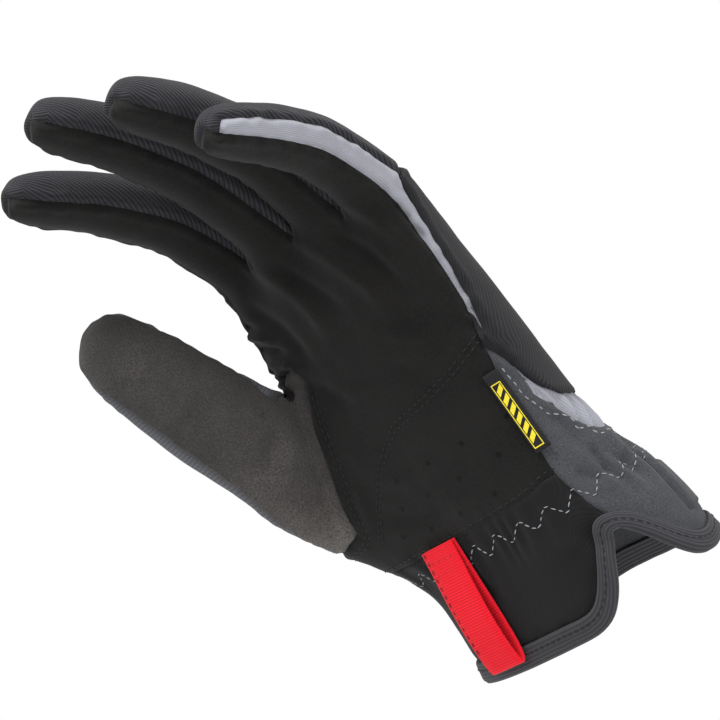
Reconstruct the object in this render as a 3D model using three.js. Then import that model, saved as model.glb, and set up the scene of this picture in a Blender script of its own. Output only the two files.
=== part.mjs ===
// Left mechanic's work glove in its worn form, as on a relaxed half-open hand.
// Z runs up the hand from the wrist opening, the palm faces -Y and the thumb is on -X.
// Every panel is a thin closed wall cut from one smooth hand surface, so the glove is hollow.
import * as THREE from "three";

// Driving sizes, in millimetres
const PALM_LENGTH = 131;
const PALM_WIDTH = 92;
const HAND_DEPTH = 48;
const FINGER_LENGTH = 91;
const FINGER_WIDTH = 23;
const THUMB_LENGTH = 75;
const THUMB_WIDTH = 32;
const BINDING_WIDTH = 6.5;
const SEAM_GAP = 0.3;
const CORNER_REACH = 5; // most half gaps that a panel's corner is set back
const TAB_WIDTH = 15.5;
const TAB_LENGTH = 43;
const TAB_BOW = 5.4;
const TAB_THICKNESS = 1.2;
const LABEL_LENGTH = 26;
const LABEL_WIDTH = 6;
const LABEL_THICKNESS = 1;

// Wall of each panel: thickness inwards, how far its outer face stands proud, and its colour
const PANELS = {
  palm: { wall: 1.3, proud: 0, colour: 0x1e1d1c },
  thumb_front: { wall: 1.3, proud: 0, colour: 0x504b48 },
  thumb_back: { wall: 1.1, proud: 0, colour: 0x45454a },
  thumb_web: { wall: 1.1, proud: 0, colour: 0x18181a },
  finger_back_index: { wall: 1.1, proud: 0, colour: 0x37373e },
  finger_back_middle: { wall: 1.1, proud: 0, colour: 0x37373e },
  finger_back_ring: { wall: 1.1, proud: 0, colour: 0x37373e },
  finger_back_little: { wall: 1.1, proud: 0, colour: 0x37373e },
  back_panel: { wall: 2.2, proud: 0.5, colour: 0x2c2c30 },
  side_band: { wall: 1, proud: 0, colour: 0xa5a5b2 },
  wrist_gusset: { wall: 1, proud: 0, colour: 0xa5a5b2 },
  cuff_front: { wall: 1.6, proud: 0, colour: 0x222224 },
  cuff_back: { wall: 1.6, proud: 0.2, colour: 0x4b4d50 },
  cuff_binding: { wall: 2.4, proud: 0.6, colour: 0x46464b },
};

// Level cross-sections of the hand from the wrist opening to the knuckles.
// height is a share of PALM_LENGTH; x, half and thenar are shares of PALM_WIDTH;
// y, palmar and dorsal are shares of HAND_DEPTH; slide moves the palm's columns off the thumb.
const SECTIONS = [
  {
    height: 0.0, x: -0.017, y: 0.042, half: 0.571, palmar: 0.646, dorsal: 0.708,
    thenar: 0.0, slide: 0.0,
  },
  {
    height: 0.107, x: -0.012, y: 0.01, half: 0.538, palmar: 0.625, dorsal: 0.646,
    thenar: 0.0, slide: 0.0,
  },
  {
    height: 0.214, x: -0.002, y: -0.021, half: 0.527, palmar: 0.583, dorsal: 0.604,
    thenar: 0.0, slide: 0.0,
  },
  {
    height: 0.282, x: -0.008, y: -0.042, half: 0.507, palmar: 0.563, dorsal: 0.563,
    thenar: 0.033, slide: 0.0,
  },
  {
    height: 0.344, x: -0.043, y: -0.042, half: 0.48, palmar: 0.563, dorsal: 0.521,
    thenar: 0.092, slide: 0.0,
  },
  {
    height: 0.443, x: -0.086, y: -0.052, half: 0.482, palmar: 0.563, dorsal: 0.479,
    thenar: 0.163, slide: 0.1,
  },
  {
    height: 0.611, x: -0.125, y: -0.073, half: 0.518, palmar: 0.542, dorsal: 0.438,
    thenar: 0.087, slide: 0.9,
  },
  {
    height: 0.779, x: -0.124, y: -0.115, half: 0.509, palmar: 0.5, dorsal: 0.417,
    thenar: 0.022, slide: 1.35,
  },
  {
    height: 0.901, x: -0.103, y: -0.177, half: 0.499, palmar: 0.45, dorsal: 0.388,
    thenar: 0.0, slide: 0.5,
  },
  {
    height: 1.0, x: -0.091, y: -0.219, half: 0.49, palmar: 0.394, dorsal: 0.358,
    thenar: 0.0, slide: 0.0,
  },
];
const ROUNDNESS = 2.2;

// The palm net has 20 columns: 9 over the palm, the little-finger side, 9 over the back, the thumb side
const SHARES = [-0.9, -0.72, -0.47, -0.21, 0.04, 0.29, 0.53, 0.74, 0.9];
const SLIDES = [0.1, 0.25, 0.22, 0.16, 0.12, 0.08, 0.05, 0.02, 0.0];
const COLUMNS = 20;
const SIDE = 9;
const THUMB_SIDE = 19;
// Share of the thenar swell that each column near the thumb takes
const THENAR_COLUMNS = { 18: 0.42, 19: 0.96, 0: 1.2, 1: 0.78, 2: 0.24 };

// Net rows above the cuff seam, each height a share of PALM_LENGTH where the row meets a column:
// thumb side, first palm column, palm middle, palm seam, little-finger side, back edge, back middle,
// back edge by the thumb. seam and reach are the shares of the half width where the palm seam and
// the column beside it run.
const ROWS = [
  {
    thumb: 0.344, first: 0.344, palm: 0.344, edge: 0.344,
    side: 0.344, rim: 0.336, back: 0.328, far: 0.336, seam: 0.85, reach: 1,
  },
  {
    thumb: 0.443, first: 0.443, palm: 0.458, edge: 0.519,
    side: 0.389, rim: 0.366, back: 0.355, far: 0.389, seam: 0.87, reach: 1,
  },
  {
    thumb: 0.611, first: 0.611, palm: 0.626, edge: 0.695,
    side: 0.435, rim: 0.393, back: 0.382, far: 0.458, seam: 0.93, reach: 1,
  },
  {
    thumb: 0.85, first: 0.862, palm: 0.771, edge: 0.725,
    side: 0.504, rim: 0.481, back: 0.435, far: 0.565, seam: 0.945, reach: 0.99,
  },
  {
    thumb: 0.893, first: 0.893, palm: 0.832, edge: 0.779,
    side: 0.745, rim: 0.672, back: 0.58, far: 0.702, seam: 0.96, reach: 0.978,
  },
  {
    thumb: 0.94, first: 0.934, palm: 0.893, edge: 0.886,
    side: 0.855, rim: 0.824, back: 0.779, far: 0.84, seam: 0.965, reach: 0.983,
  },
  {
    thumb: 1.008, first: 0.985, palm: 0.962, edge: 0.985,
    side: 1.0, rim: 1.008, back: 1.015, far: 1.015, seam: 0.965, reach: 0.985,
  },
];
const HOLE_ROW = 5; // the thumb leaves the net between this row and the second one above it
// Wrist edge, column by column, as shares of PALM_LENGTH: level at the palm, notched at the side
const WRIST_EDGE = [
  0, 0, 0, 0, 0, 0, 0, 0.081, 0.268, 0,
  0.05, 0.05, 0.046, 0.046, 0.046, 0.046, 0.038, 0.03, 0.023, 0.008,
];
const CUFF_STEPS = [0.3, 0.68]; // rows between the binding and the cuff seam

// Fingers: base centre (shares of PALM_WIDTH, HAND_DEPTH, PALM_LENGTH), lean of the base ring,
// splay, bend of each joint from straight up, bone lengths (shares of FINGER_LENGTH),
// half widths and half depths at base, two joints and tip (shares of FINGER_WIDTH)
const FINGERS = [
  {
    name: "index", base: [-0.418, -0.283, 1.153], lean: 24, splay: -4, bends: [34, 54, 64],
    bones: [0.33, 0.297, 0.33],
    wide: [0.504, 0.478, 0.448, 0.417],
    deep: [0.452, 0.435, 0.409, 0.365],
  },
  {
    name: "middle", base: [-0.172, -0.365, 1.171], lean: 25, splay: -1, bends: [28, 46, 58],
    bones: [0.363, 0.341, 0.297],
    wide: [0.491, 0.465, 0.448, 0.417],
    deep: [0.47, 0.452, 0.426, 0.374],
  },
  {
    name: "ring", base: [0.058, -0.302, 1.153], lean: 25, splay: 1, bends: [27, 46, 58],
    bones: [0.33, 0.297, 0.275],
    wide: [0.443, 0.435, 0.426, 0.4],
    deep: [0.452, 0.443, 0.417, 0.365],
  },
  {
    name: "little", base: [0.288, -0.292, 1.13], lean: 25, splay: 2, bends: [36, 58, 68],
    bones: [0.275, 0.209, 0.253],
    wide: [0.435, 0.422, 0.4, 0.365],
    deep: [0.435, 0.417, 0.391, 0.339],
  },
];
// Ring of 8 round a finger: degrees from its palm side, and the swell that makes up for smoothing
const FINGER_RING = [
  { turn: -56, swell: 1.125 },
  { turn: 0, swell: 1.172 },
  { turn: 56, swell: 1.125 },
  { turn: 96, swell: 1.09 },
  { turn: 138, swell: 1.096 },
  { turn: 180, swell: 1.094 },
  { turn: -138, swell: 1.096 },
  { turn: -96, swell: 1.09 },
];

// Thumb: ring centres (x, y as shares of PALM_WIDTH, z of PALM_LENGTH), lean of the axis to -X and -Y,
// half sizes (shares of THUMB_WIDTH), and how far each ring point is drawn to the hole in the palm
const THUMB = [
  {
    at: [-0.511, -0.4, 0.672], lean: 0.57, wide: 0.6, deep: 0.5,
    draw: [0.4, 0.4, 0.4, 0.35, 0.1, 0, 0, 0.3],
  },
  {
    at: [-0.537, -0.45, 0.79], lean: 0.36, wide: 0.538, deep: 0.469,
    draw: [0.3, 0.3, 0.2, 0.1, 0, 0, 0, 0.1],
  },
  {
    at: [-0.589, -0.524, 0.898], lean: 0.34, wide: 0.509, deep: 0.444,
    draw: [0, 0, 0, 0, 0, 0, 0, 0],
  },
  {
    at: [-0.633, -0.578, 1.01], lean: 0.34, wide: 0.475, deep: 0.425,
    draw: [0, 0, 0, 0, 0, 0, 0, 0],
  },
  {
    at: [-0.677, -0.627, 1.115], lean: 0.34, wide: 0.422, deep: 0.381,
    draw: [0, 0, 0, 0, 0, 0, 0, 0],
  },
  {
    at: [-0.711, -0.666, 1.198], lean: 0.34, wide: 0.319, deep: 0.275,
    draw: [0, 0, 0, 0, 0, 0, 0, 0],
  },
];
const THUMB_TURNS = [-45, 8, 48, 90, 132, 170, 225, 270];
const WEB_SIDE = new THREE.Vector3(0.617, 0.617, 0.487);
const SMOOTHING = 0.902; // a ring of 8 draws in to this share of its radius when it is smoothed
const THUMB_SWELL = 1 / SMOOTHING;

const rad = THREE.MathUtils.degToRad;
const lerp = THREE.MathUtils.lerp;
const vec = (x, y, z) => new THREE.Vector3(x, y, z);

// The hand surface
// A table column at a height, by straight lines between its rows
function sectionAt(z) {
  const share = THREE.MathUtils.clamp(z / PALM_LENGTH, 0, 1);
  let i = 0;
  while (i < SECTIONS.length - 2 && SECTIONS[i + 1].height < share) i += 1;
  const low = SECTIONS[i];
  const high = SECTIONS[i + 1];
  const t = (share - low.height) / (high.height - low.height);
  const s = (key) => lerp(low[key], high[key], t);
  return {
    x: s("x") * PALM_WIDTH,
    y: s("y") * HAND_DEPTH,
    half: s("half") * PALM_WIDTH,
    palmar: s("palmar") * HAND_DEPTH,
    dorsal: s("dorsal") * HAND_DEPTH,
    thenar: s("thenar") * PALM_WIDTH,
    slide: s("slide"),
  };
}

// Point of the section at height z; share runs -1 to 1 across the hand, over the palm or the back
function onHand(share, back, z) {
  const s = sectionAt(z);
  const depth = Math.pow(Math.max(0, 1 - Math.pow(Math.abs(share), ROUNDNESS)), 1 / ROUNDNESS);
  return vec(s.x + s.half * share, s.y + depth * (back ? s.dorsal : -s.palmar), z);
}

// The same point drawn on to the section along its own direction from the middle
function drawnOn(p) {
  const s = sectionAt(p.z);
  const dx = (p.x - s.x) / s.half;
  const dy = (p.y - s.y) / (p.y > s.y ? s.dorsal : s.palmar);
  const r = Math.pow(Math.pow(Math.abs(dx), ROUNDNESS) + Math.pow(Math.abs(dy), ROUNDNESS), 1 / ROUNDNESS);
  return vec(s.x + (p.x - s.x) / r, s.y + (p.y - s.y) / r, p.z);
}

function swollen(p, column) {
  const swell = (THENAR_COLUMNS[column] || 0) * sectionAt(p.z).thenar;
  return vec(p.x - Math.SQRT1_2 * swell, p.y - Math.SQRT1_2 * swell, p.z);
}

function columnPoint(column, z, seam, sideShare) {
  if (column === SIDE) return onHand(sideShare, false, z);
  if (column === THUMB_SIDE) return onHand(-1, true, z);
  if (column > SIDE) return onHand(SHARES[18 - column], true, z);
  const stretch = column > 4 ? seam / SHARES[8] : 1;
  const share = SHARES[column] * stretch + SLIDES[column] * sectionAt(z).slide;
  return onHand(Math.min(share, 0.985), false, z);
}

// Height of a row at a column, by straight lines between the row's stations
function rowHeight(row, column) {
  const stations = [
    [0, row.first],
    [1, row.first],
    [4, row.palm],
    [8, row.edge],
    [9, row.side],
    [10, row.rim],
    [14, row.back],
    [18, row.far],
    [19, row.thumb],
  ];
  let i = 0;
  while (stations[i + 1][0] < column) i += 1;
  const t = (column - stations[i][0]) / (stations[i + 1][0] - stations[i][0]);
  return PALM_LENGTH * lerp(stations[i][1], stations[i + 1][1], t);
}

const net = { points: [], faces: [] };
function addPoint(p) {
  net.points.push(p);
  return net.points.length - 1;
}
function addFace(corners, panel) {
  net.faces.push({ corners, panel });
}

// Frames along one finger: centre, palm-side direction, side direction and half sizes
function fingerFrames(f) {
  const splay = rad(f.splay);
  const axis = (deg) =>
    vec(Math.sin(splay), -Math.sin(rad(deg)) * Math.cos(splay), Math.cos(rad(deg)) * Math.cos(splay));
  const across = vec(Math.cos(splay), 0, -Math.sin(splay));
  const base = vec(f.base[0] * PALM_WIDTH, f.base[1] * HAND_DEPTH, f.base[2] * PALM_LENGTH);
  const bone = f.bones.map((b) => b * FINGER_LENGTH);
  const joint1 = base.clone().addScaledVector(axis(f.bends[0]), bone[0]);
  const joint2 = joint1.clone().addScaledVector(axis(f.bends[1]), bone[1]);
  const tip = joint2.clone().addScaledVector(axis(f.bends[2]), bone[2]);
  const stations = [
    [base, f.lean, 0, 1],
    [base.clone().lerp(joint1, 0.48), f.bends[0], 0.5, 1],
    [joint1, (f.bends[0] + f.bends[1]) / 2, 1, 1],
    [joint1.clone().lerp(joint2, 0.5), f.bends[1], 1.5, 1],
    [joint2, (f.bends[1] + f.bends[2]) / 2, 2, 1],
    [joint2.clone().lerp(tip, 0.68), f.bends[2], 3, 1],
    [joint2.clone().lerp(tip, 0.95), f.bends[2], 3, 0.72],
  ];
  const sizeAt = (list, k) => lerp(list[Math.floor(k)], list[Math.ceil(k)], k % 1) * FINGER_WIDTH;
  const rings = stations.map(([centre, bend, k, shrink]) => {
    const along = axis(bend);
    const side = across.clone().addScaledVector(along, -across.dot(along)).normalize();
    const palmward = vec().crossVectors(side, along).normalize();
    if (palmward.y > 0) palmward.negate();
    return FINGER_RING.map(({ turn, swell }) =>
      centre
        .clone()
        .addScaledVector(side, Math.sin(rad(turn)) * sizeAt(f.wide, k) * shrink * swell)
        .addScaledVector(palmward, Math.cos(rad(turn)) * sizeAt(f.deep, k) * shrink * swell),
    );
  });
  return { rings, tip: tip.addScaledVector(axis(f.bends[2]), 0.5), along: axis(f.lean) };
}

// Bases of the fingers: neighbours share the points of the web between them
const fingers = FINGERS.map(fingerFrames);
const baseIds = fingers.map(() => new Array(8).fill(-1));
fingers.forEach((finger, i) => {
  const right = { 2: 0, 3: 7, 4: 6 };
  for (let k = 0; k < 8; k += 1) {
    if (i > 0 && (k === 0 || k === 6 || k === 7)) continue;
    const p = finger.rings[0][k].clone();
    if (k in right && i < fingers.length - 1) {
      p.add(fingers[i + 1].rings[0][right[k]]).multiplyScalar(0.5);
      if (k === 3) p.addScaledVector(finger.along, -2);
      baseIds[i][k] = addPoint(p);
      baseIds[i + 1][right[k]] = baseIds[i][k];
    } else {
      baseIds[i][k] = addPoint(p);
    }
  }
});
const knuckleRow = [baseIds[0][0]];
baseIds.forEach((ids) => knuckleRow.push(ids[1], ids[2]));
knuckleRow.push(baseIds[3][3], baseIds[3][4]);
for (let i = 3; i >= 0; i -= 1) knuckleRow.push(baseIds[i][5], baseIds[i][6]);
knuckleRow.push(baseIds[0][7]);

// Wrist edge, binding and cuff rows, then the rows of the palm
const seamRow = ROWS[0];
const wristRow = WRIST_EDGE.map((share, c) => columnPoint(c, share * PALM_LENGTH, 0.83, 0.99));
const bindingRow = wristRow.map((p, c) => {
  const tangent = wristRow[(c + 1) % COLUMNS].clone().sub(wristRow[(c + COLUMNS - 1) % COLUMNS]);
  const s = sectionAt(p.z);
  const outward = vec((p.x - s.x) / s.half, (p.y - s.y) / s.palmar, 0).normalize();
  const upward = vec().crossVectors(outward, tangent).normalize();
  if (upward.z < 0) upward.negate();
  return drawnOn(p.clone().addScaledVector(upward, BINDING_WIDTH));
});
const rows = [wristRow, bindingRow];
for (const step of CUFF_STEPS) {
  rows.push(
    bindingRow.map((p, c) => {
      const top = columnPoint(c, rowHeight(seamRow, c), seamRow.seam, 1);
      return drawnOn(p.clone().lerp(top, step));
    }),
  );
}
ROWS.forEach((row) => {
  rows.push(WRIST_EDGE.map((_, c) => columnPoint(c, rowHeight(row, c), row.seam, row.reach)));
});
const rowIds = rows.map((row, j) =>
  row.map((p, c) => {
    const inHole = j === HOLE_ROW + 1 && c === 0;
    return inHole ? -1 : addPoint(swollen(p, c));
  }),
);
rowIds.push(knuckleRow);

// Which panel a face of the palm net belongs to; a face split between two panels names one per corner
const CUFF_SEAM_ROW = 4;
const CUFF_TOP_ROW = 6;
const GUSSET_TOP_ROW = 7;
function palmPanel(row, column) {
  const front = column < 8;
  if (row === 0) return "cuff_binding";
  if (row < CUFF_SEAM_ROW) return front ? "cuff_front" : "cuff_back";
  if (column === 0 && row === GUSSET_TOP_ROW) return ["thumb_web", "thumb_front", "thumb_front", "thumb_web"];
  if (front) return "palm";
  if (row < CUFF_TOP_ROW) return "cuff_back";
  if (row < GUSSET_TOP_ROW) {
    if (column === 8) return "cuff_back";
    return column < 18 ? "wrist_gusset" : "back_panel";
  }
  if (column === 8 && row > GUSSET_TOP_ROW) return "side_band";
  if (column === THUMB_SIDE && row === GUSSET_TOP_ROW) return "thumb_web";
  return "back_panel";
}
for (let j = 0; j < rowIds.length - 1; j += 1) {
  for (let c = 0; c < COLUMNS; c += 1) {
    const n = (c + 1) % COLUMNS;
    if (j >= HOLE_ROW && j < HOLE_ROW + 2 && (c === THUMB_SIDE || c === 0)) continue;
    addFace([rowIds[j][c], rowIds[j][n], rowIds[j + 1][n], rowIds[j + 1][c]], palmPanel(j, c));
  }
}

// Fingers: the palm's suede runs up the front, knit covers sides and back
fingers.forEach((finger, i) => {
  const knit = "finger_back_" + FINGERS[i].name;
  const panelOf = (k) => {
    if (k < 2) return "palm";
    return k === 2 && i === 3 ? "side_band" : knit;
  };
  let last = baseIds[i];
  finger.rings.slice(1).forEach((ring) => {
    const next = ring.map(addPoint);
    for (let k = 0; k < 8; k += 1) {
      const n = (k + 1) % 8;
      addFace([last[k], last[n], next[n], next[k]], panelOf(k));
    }
    last = next;
  });
  const tip = addPoint(finger.tip);
  for (let k = 0; k < 8; k += 2) {
    addFace([last[k], last[k + 1], last[(k + 2) % 8], tip], k === 0 ? "palm" : knit);
  }
});

// Thumb: rings that grow out of the hole in the palm net
const low = rowIds[HOLE_ROW];
const mid = rowIds[HOLE_ROW + 1];
const high = rowIds[HOLE_ROW + 2];
const hole = [high[19], high[0], high[1], mid[1], low[1], low[0], low[19], mid[19]];
const thumbTip = vec();
let lastRing = hole;
THUMB.forEach((ring, r) => {
  const along = vec(-ring.lean, -ring.lean, Math.sqrt(1 - 2 * ring.lean * ring.lean));
  const webward = WEB_SIDE.clone().addScaledVector(along, -WEB_SIDE.dot(along)).normalize();
  const padward = vec().crossVectors(along, webward).normalize();
  if (padward.y > 0) padward.negate();
  const centre = vec(ring.at[0] * PALM_WIDTH, ring.at[1] * PALM_WIDTH, ring.at[2] * PALM_LENGTH);
  const next = THUMB_TURNS.map((turn, k) => {
    const p = centre
      .clone()
      .addScaledVector(webward, Math.cos(rad(turn)) * ring.wide * THUMB_WIDTH * THUMB_SWELL)
      .addScaledVector(padward, Math.sin(rad(turn)) * ring.deep * THUMB_WIDTH * THUMB_SWELL);
    return addPoint(p.lerp(net.points[hole[k]], ring.draw[k]));
  });
  for (let k = 0; k < 8; k += 1) {
    const n = (k + 1) % 8;
    const front = k > 0 && k < 5;
    let panel = front ? "thumb_front" : "thumb_back";
    if (r === 0 && k === 0) panel = "thumb_web";
    
    addFace([lastRing[k], next[k], next[n], lastRing[n]], panel);
  }
  lastRing = next;
  thumbTip.copy(centre).addScaledVector(along, 0.07 * THUMB_LENGTH);
});
const thumbTipId = addPoint(thumbTip);
for (let k = 1; k < 8; k += 2) {
  const corners = [thumbTipId, lastRing[(k + 2) % 8], lastRing[(k + 1) % 8], lastRing[k]];
  addFace(corners, k < 5 ? "thumb_front" : "thumb_back");
}

// One smoothing step: every face gives four, and edge and corner points move to their smooth places
function smoothed({ points, faces }) {
  const sum = (list) => list.reduce((t, p) => t.add(p), vec()).divideScalar(list.length);
  const middles = faces.map((f) => sum(f.corners.map((i) => points[i])));
  const edges = new Map();
  const around = points.map(() => ({ middles: [], edges: [] }));
  faces.forEach((f, fi) => {
    f.corners.forEach((a, k) => {
      const b = f.corners[(k + 1) % 4];
      const key = a < b ? a + ":" + b : b + ":" + a;
      if (!edges.has(key)) {
        edges.set(key, { a, b, faces: [] });
        around[a].edges.push(key);
        around[b].edges.push(key);
      }
      edges.get(key).faces.push(fi);
      around[a].middles.push(fi);
    });
  });
  const made = [];
  points.forEach((p, i) => {
    const open = around[i].edges.map((key) => edges.get(key)).filter((e) => e.faces.length === 1);
    if (open.length) {
      const ends = sum(open.map((e) => points[e.a === i ? e.b : e.a]));
      made.push(p.clone().multiplyScalar(0.75).addScaledVector(ends, 0.25));
      return;
    }
    const n = around[i].edges.length;
    const faceMean = sum(around[i].middles.map((fi) => middles[fi]));
    const halfway = (e) => sum([points[e.a], points[e.b]]);
    const edgeMean = sum(around[i].edges.map((key) => halfway(edges.get(key))));
    made.push(faceMean.addScaledVector(edgeMean, 2).addScaledVector(p, n - 3).divideScalar(n));
  });
  edges.forEach((e) => {
    const ends = [points[e.a], points[e.b]];
    e.id = made.length;
    made.push(e.faces.length === 1 ? sum(ends) : sum([...ends, ...e.faces.map((fi) => middles[fi])]));
  });
  const middleId = made.length;
  middles.forEach((m) => made.push(m));
  const out = [];
  faces.forEach((f, fi) => {
    const edgeId = (k) => {
      const a = f.corners[k];
      const b = f.corners[(k + 1) % 4];
      return edges.get(a < b ? a + ":" + b : b + ":" + a).id;
    };
    for (let k = 0; k < 4; k += 1) {
      const panel = Array.isArray(f.panel) ? f.panel[k] : f.panel;
      out.push({ corners: [f.corners[k], edgeId(k), middleId + fi, edgeId((k + 3) % 4)], panel });
    }
  });
  return { points: made, faces: out };
}

const used = new Map();
net.faces.forEach((f) => f.corners.forEach((i) => used.has(i) || used.set(i, used.size)));
const compact = {
  points: [...used.keys()].map((i) => net.points[i]),
  faces: net.faces.map((f) => ({ corners: f.corners.map((i) => used.get(i)), panel: f.panel })),
};
const hand = smoothed(compact);

// Outward normal of the hand surface at every point
function faceNormal(corners) {
  const [a, b, c, d] = corners.map((i) => hand.points[i]);
  return vec().crossVectors(c.clone().sub(a), d.clone().sub(b));
}
const normals = hand.points.map(() => vec());
hand.faces.forEach((f) => {
  const n = faceNormal(f.corners).normalize();
  f.corners.forEach((i) => normals[i].add(n));
});
normals.forEach((n) => n.normalize());

// A panel as a closed thin wall: its faces, set back half the seam gap at every border
function wallOf(faces, { wall, proud }) {
  const directed = new Map();
  faces.forEach((f) => f.corners.forEach((a, k) => directed.set(a + ":" + f.corners[(k + 1) % 4], f)));
  const borders = [];
  directed.forEach((f, key) => {
    const [a, b] = key.split(":").map(Number);
    if (!directed.has(b + ":" + a)) borders.push({ a, b, face: f });
  });
  const setBack = new Map();
  borders.forEach(({ a, b, face }) => {
    const along = hand.points[b].clone().sub(hand.points[a]).normalize();
    const inward = vec().crossVectors(faceNormal(face.corners).normalize(), along).normalize();
    for (const i of [a, b]) {
      if (!setBack.has(i)) setBack.set(i, []);
      setBack.get(i).push(inward);
    }
  });
  const ids = new Map();
  const position = [];
  const idOf = (i, inner) => {
    const key = i + (inner ? "i" : "o");
    if (!ids.has(key)) {
      const p = hand.points[i].clone();
      if (setBack.has(i)) {
        const mean = setBack.get(i).reduce((t, v) => t.add(v), vec());
        mean.divideScalar(setBack.get(i).length);
        const mitre = 1 / Math.max(mean.lengthSq(), 0.01);
        const stretch = Math.min(mitre, CORNER_REACH / Math.max(mean.length(), 0.01));
        p.addScaledVector(mean, (stretch * SEAM_GAP) / 2);
      }
      p.addScaledVector(normals[i], inner ? -wall : proud);
      ids.set(key, position.length / 3);
      position.push(p.x, p.y, p.z);
    }
    return ids.get(key);
  };
  const index = [];
  faces.forEach(({ corners }) => {
    const [a, b, c, d] = corners;
    const short = hand.points[a].distanceTo(hand.points[c]) <= hand.points[b].distanceTo(hand.points[d]);
    const halves = short ? [[a, b, c], [a, c, d]] : [[a, b, d], [b, c, d]];
    halves.forEach(([p, q, r]) => {
      index.push(idOf(p, false), idOf(q, false), idOf(r, false));
      index.push(idOf(p, true), idOf(r, true), idOf(q, true));
    });
  });
  // The rim: both panels at a seam split it along the same diagonal
  borders.forEach(({ a, b }) => {
    if (a < b) {
      index.push(idOf(b, false), idOf(a, false), idOf(b, true));
      index.push(idOf(a, false), idOf(a, true), idOf(b, true));
    } else {
      index.push(idOf(b, false), idOf(a, false), idOf(a, true));
      index.push(idOf(b, false), idOf(a, true), idOf(b, true));
    }
  });
  return solid(position, index);
}

function solid(position, index) {
  const geometry = new THREE.BufferGeometry();
  geometry.setAttribute("position", new THREE.Float32BufferAttribute(position, 3));
  geometry.setIndex(index);
  geometry.computeVertexNormals();
  return geometry;
}

const glove = new THREE.Group();
glove.name = "mechanic_glove";
function addMesh(name, geometry, colour, roughness = 0.9) {
  const mesh = new THREE.Mesh(geometry, new THREE.MeshStandardMaterial({ color: colour, roughness }));
  mesh.name = name;
  glove.add(mesh);
}
Object.entries(PANELS).forEach(([name, panel]) => {
  addMesh(name, wallOf(hand.faces.filter((f) => f.panel === name), panel), panel.colour);
});

// A strap: a rectangle swept along a line of frames, each with its place, across and out directions
function strap(frames, width, thickness) {
  const position = [];
  const index = [];
  frames.forEach(({ at, across, out }) => {
    for (const [u, v] of [[-0.5, -0.5], [0.5, -0.5], [0.5, 0.5], [-0.5, 0.5]]) {
      const p = at.clone().addScaledVector(across, u * width).addScaledVector(out, v * thickness);
      position.push(p.x, p.y, p.z);
    }
  });
  const last = (frames.length - 1) * 4;
  for (let i = 0; i < frames.length - 1; i += 1) {
    for (let k = 0; k < 4; k += 1) {
      const a = i * 4 + k;
      const b = i * 4 + ((k + 1) % 4);
      index.push(a, b, b + 4, a, b + 4, a + 4);
    }
  }
  index.push(0, 2, 1, 0, 3, 2, last, last + 1, last + 2, last, last + 2, last + 3);
  return solid(position, index);
}

// Where a level line from the glove's middle leaves the outer surface, with the normal there
function surfaceAt(from, direction) {
  const ray = new THREE.Ray(from, direction.clone().normalize());
  let best = null;
  hand.faces.forEach(({ corners }) => {
    const [a, b, c, d] = corners.map((i) => hand.points[i]);
    for (const [p, q, r, ids] of [[a, b, c, [0, 1, 2]], [a, c, d, [0, 2, 3]]]) {
      const hit = ray.intersectTriangle(p, q, r, false, vec());
      if (!hit) continue;
      const away = hit.distanceTo(from);
      if (best && best.away > away) continue;
      const normal = ids.reduce((t, k) => t.add(normals[corners[k]]), vec()).normalize();
      best = { point: hit, normal, away };
    }
  });
  return best;
}

// Red webbing loop sewn into the cuff seam on the palm side, hanging towards the wrist
const TAB_X = -0.17 * PALM_WIDTH;
const seamHeight = seamRow.palm * PALM_LENGTH;
const tabPath = [
  [0.0, 0.2], [0.3, 0.2], [0.62, 0.2], [0.84, 0.3], [0.96, 0.5], [0.98, 0.78],
  [0.88, 0.96], [0.66, 1.0], [0.4, 0.86], [0.18, 0.62], [0.0, 0.46],
];
const tabTop = surfaceAt(vec(TAB_X, -2, seamHeight - 2), vec(0, -1, 0));
const tabFoot = surfaceAt(vec(TAB_X, -2, 6), vec(0, -1, 0));
const tabAcross = vec(1, 0, 0).addScaledVector(tabTop.normal, -tabTop.normal.x).setZ(0).normalize();
const tabOut = vec(tabAcross.y, -tabAcross.x, 0);
const tabClear = 0.35 + TAB_THICKNESS / 2;
const tabLine = tabPath.map(([down, out]) => {
  const base = tabTop.point.clone().lerp(tabFoot.point, down);
  const proudest = vec(base.x, Math.min(base.y, lerp(tabTop.point.y, tabFoot.point.y, down)), 0);
  return vec(TAB_X, proudest.y, seamHeight + 1.5 - down * TAB_LENGTH).addScaledVector(
    tabOut,
    tabClear + (out - 0.2) * TAB_BOW + 0.5,
  );
});
const tabFrames = tabLine.map((at, i) => {
  const ahead = tabLine[Math.min(i + 1, tabLine.length - 1)];
  const behind = tabLine[Math.max(i - 1, 0)];
  const along = ahead.clone().sub(behind).normalize();
  return { at, across: tabAcross, out: vec().crossVectors(along, tabAcross).normalize() };
});
addMesh("pull_tab", strap(tabFrames, TAB_WIDTH, TAB_THICKNESS), 0xc4122a);

// Folded label in the side seam, flat on the cuff's back panel
const LABEL_TOP = 0.6 * PALM_LENGTH;
const labelFrames = [0, 0.25, 0.5, 0.75, 1].map((t) => {
  const z = LABEL_TOP - t * LABEL_LENGTH;
  const s = sectionAt(z);
  const seam = onHand(0.905, false, z);
  const hit = surfaceAt(vec(s.x, s.y, z), seam.clone().sub(vec(s.x, s.y, z)));
  const out = hit.normal.clone().setZ(0).normalize();
  const across = vec(-out.y, out.x, 0);
  const at = hit.point.clone().addScaledVector(out, 0.85 + LABEL_THICKNESS / 2);
  return { at, across, out };
});
addMesh("side_label", strap(labelFrames, LABEL_WIDTH, LABEL_THICKNESS), 0xd8c22e, 0.7);

export default glove;
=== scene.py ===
# A left mechanic's work glove in its worn form. Metres; Z runs up the hand from the wrist
# opening, the palm faces -Y and the thumb is on -X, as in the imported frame.
import math

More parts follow.
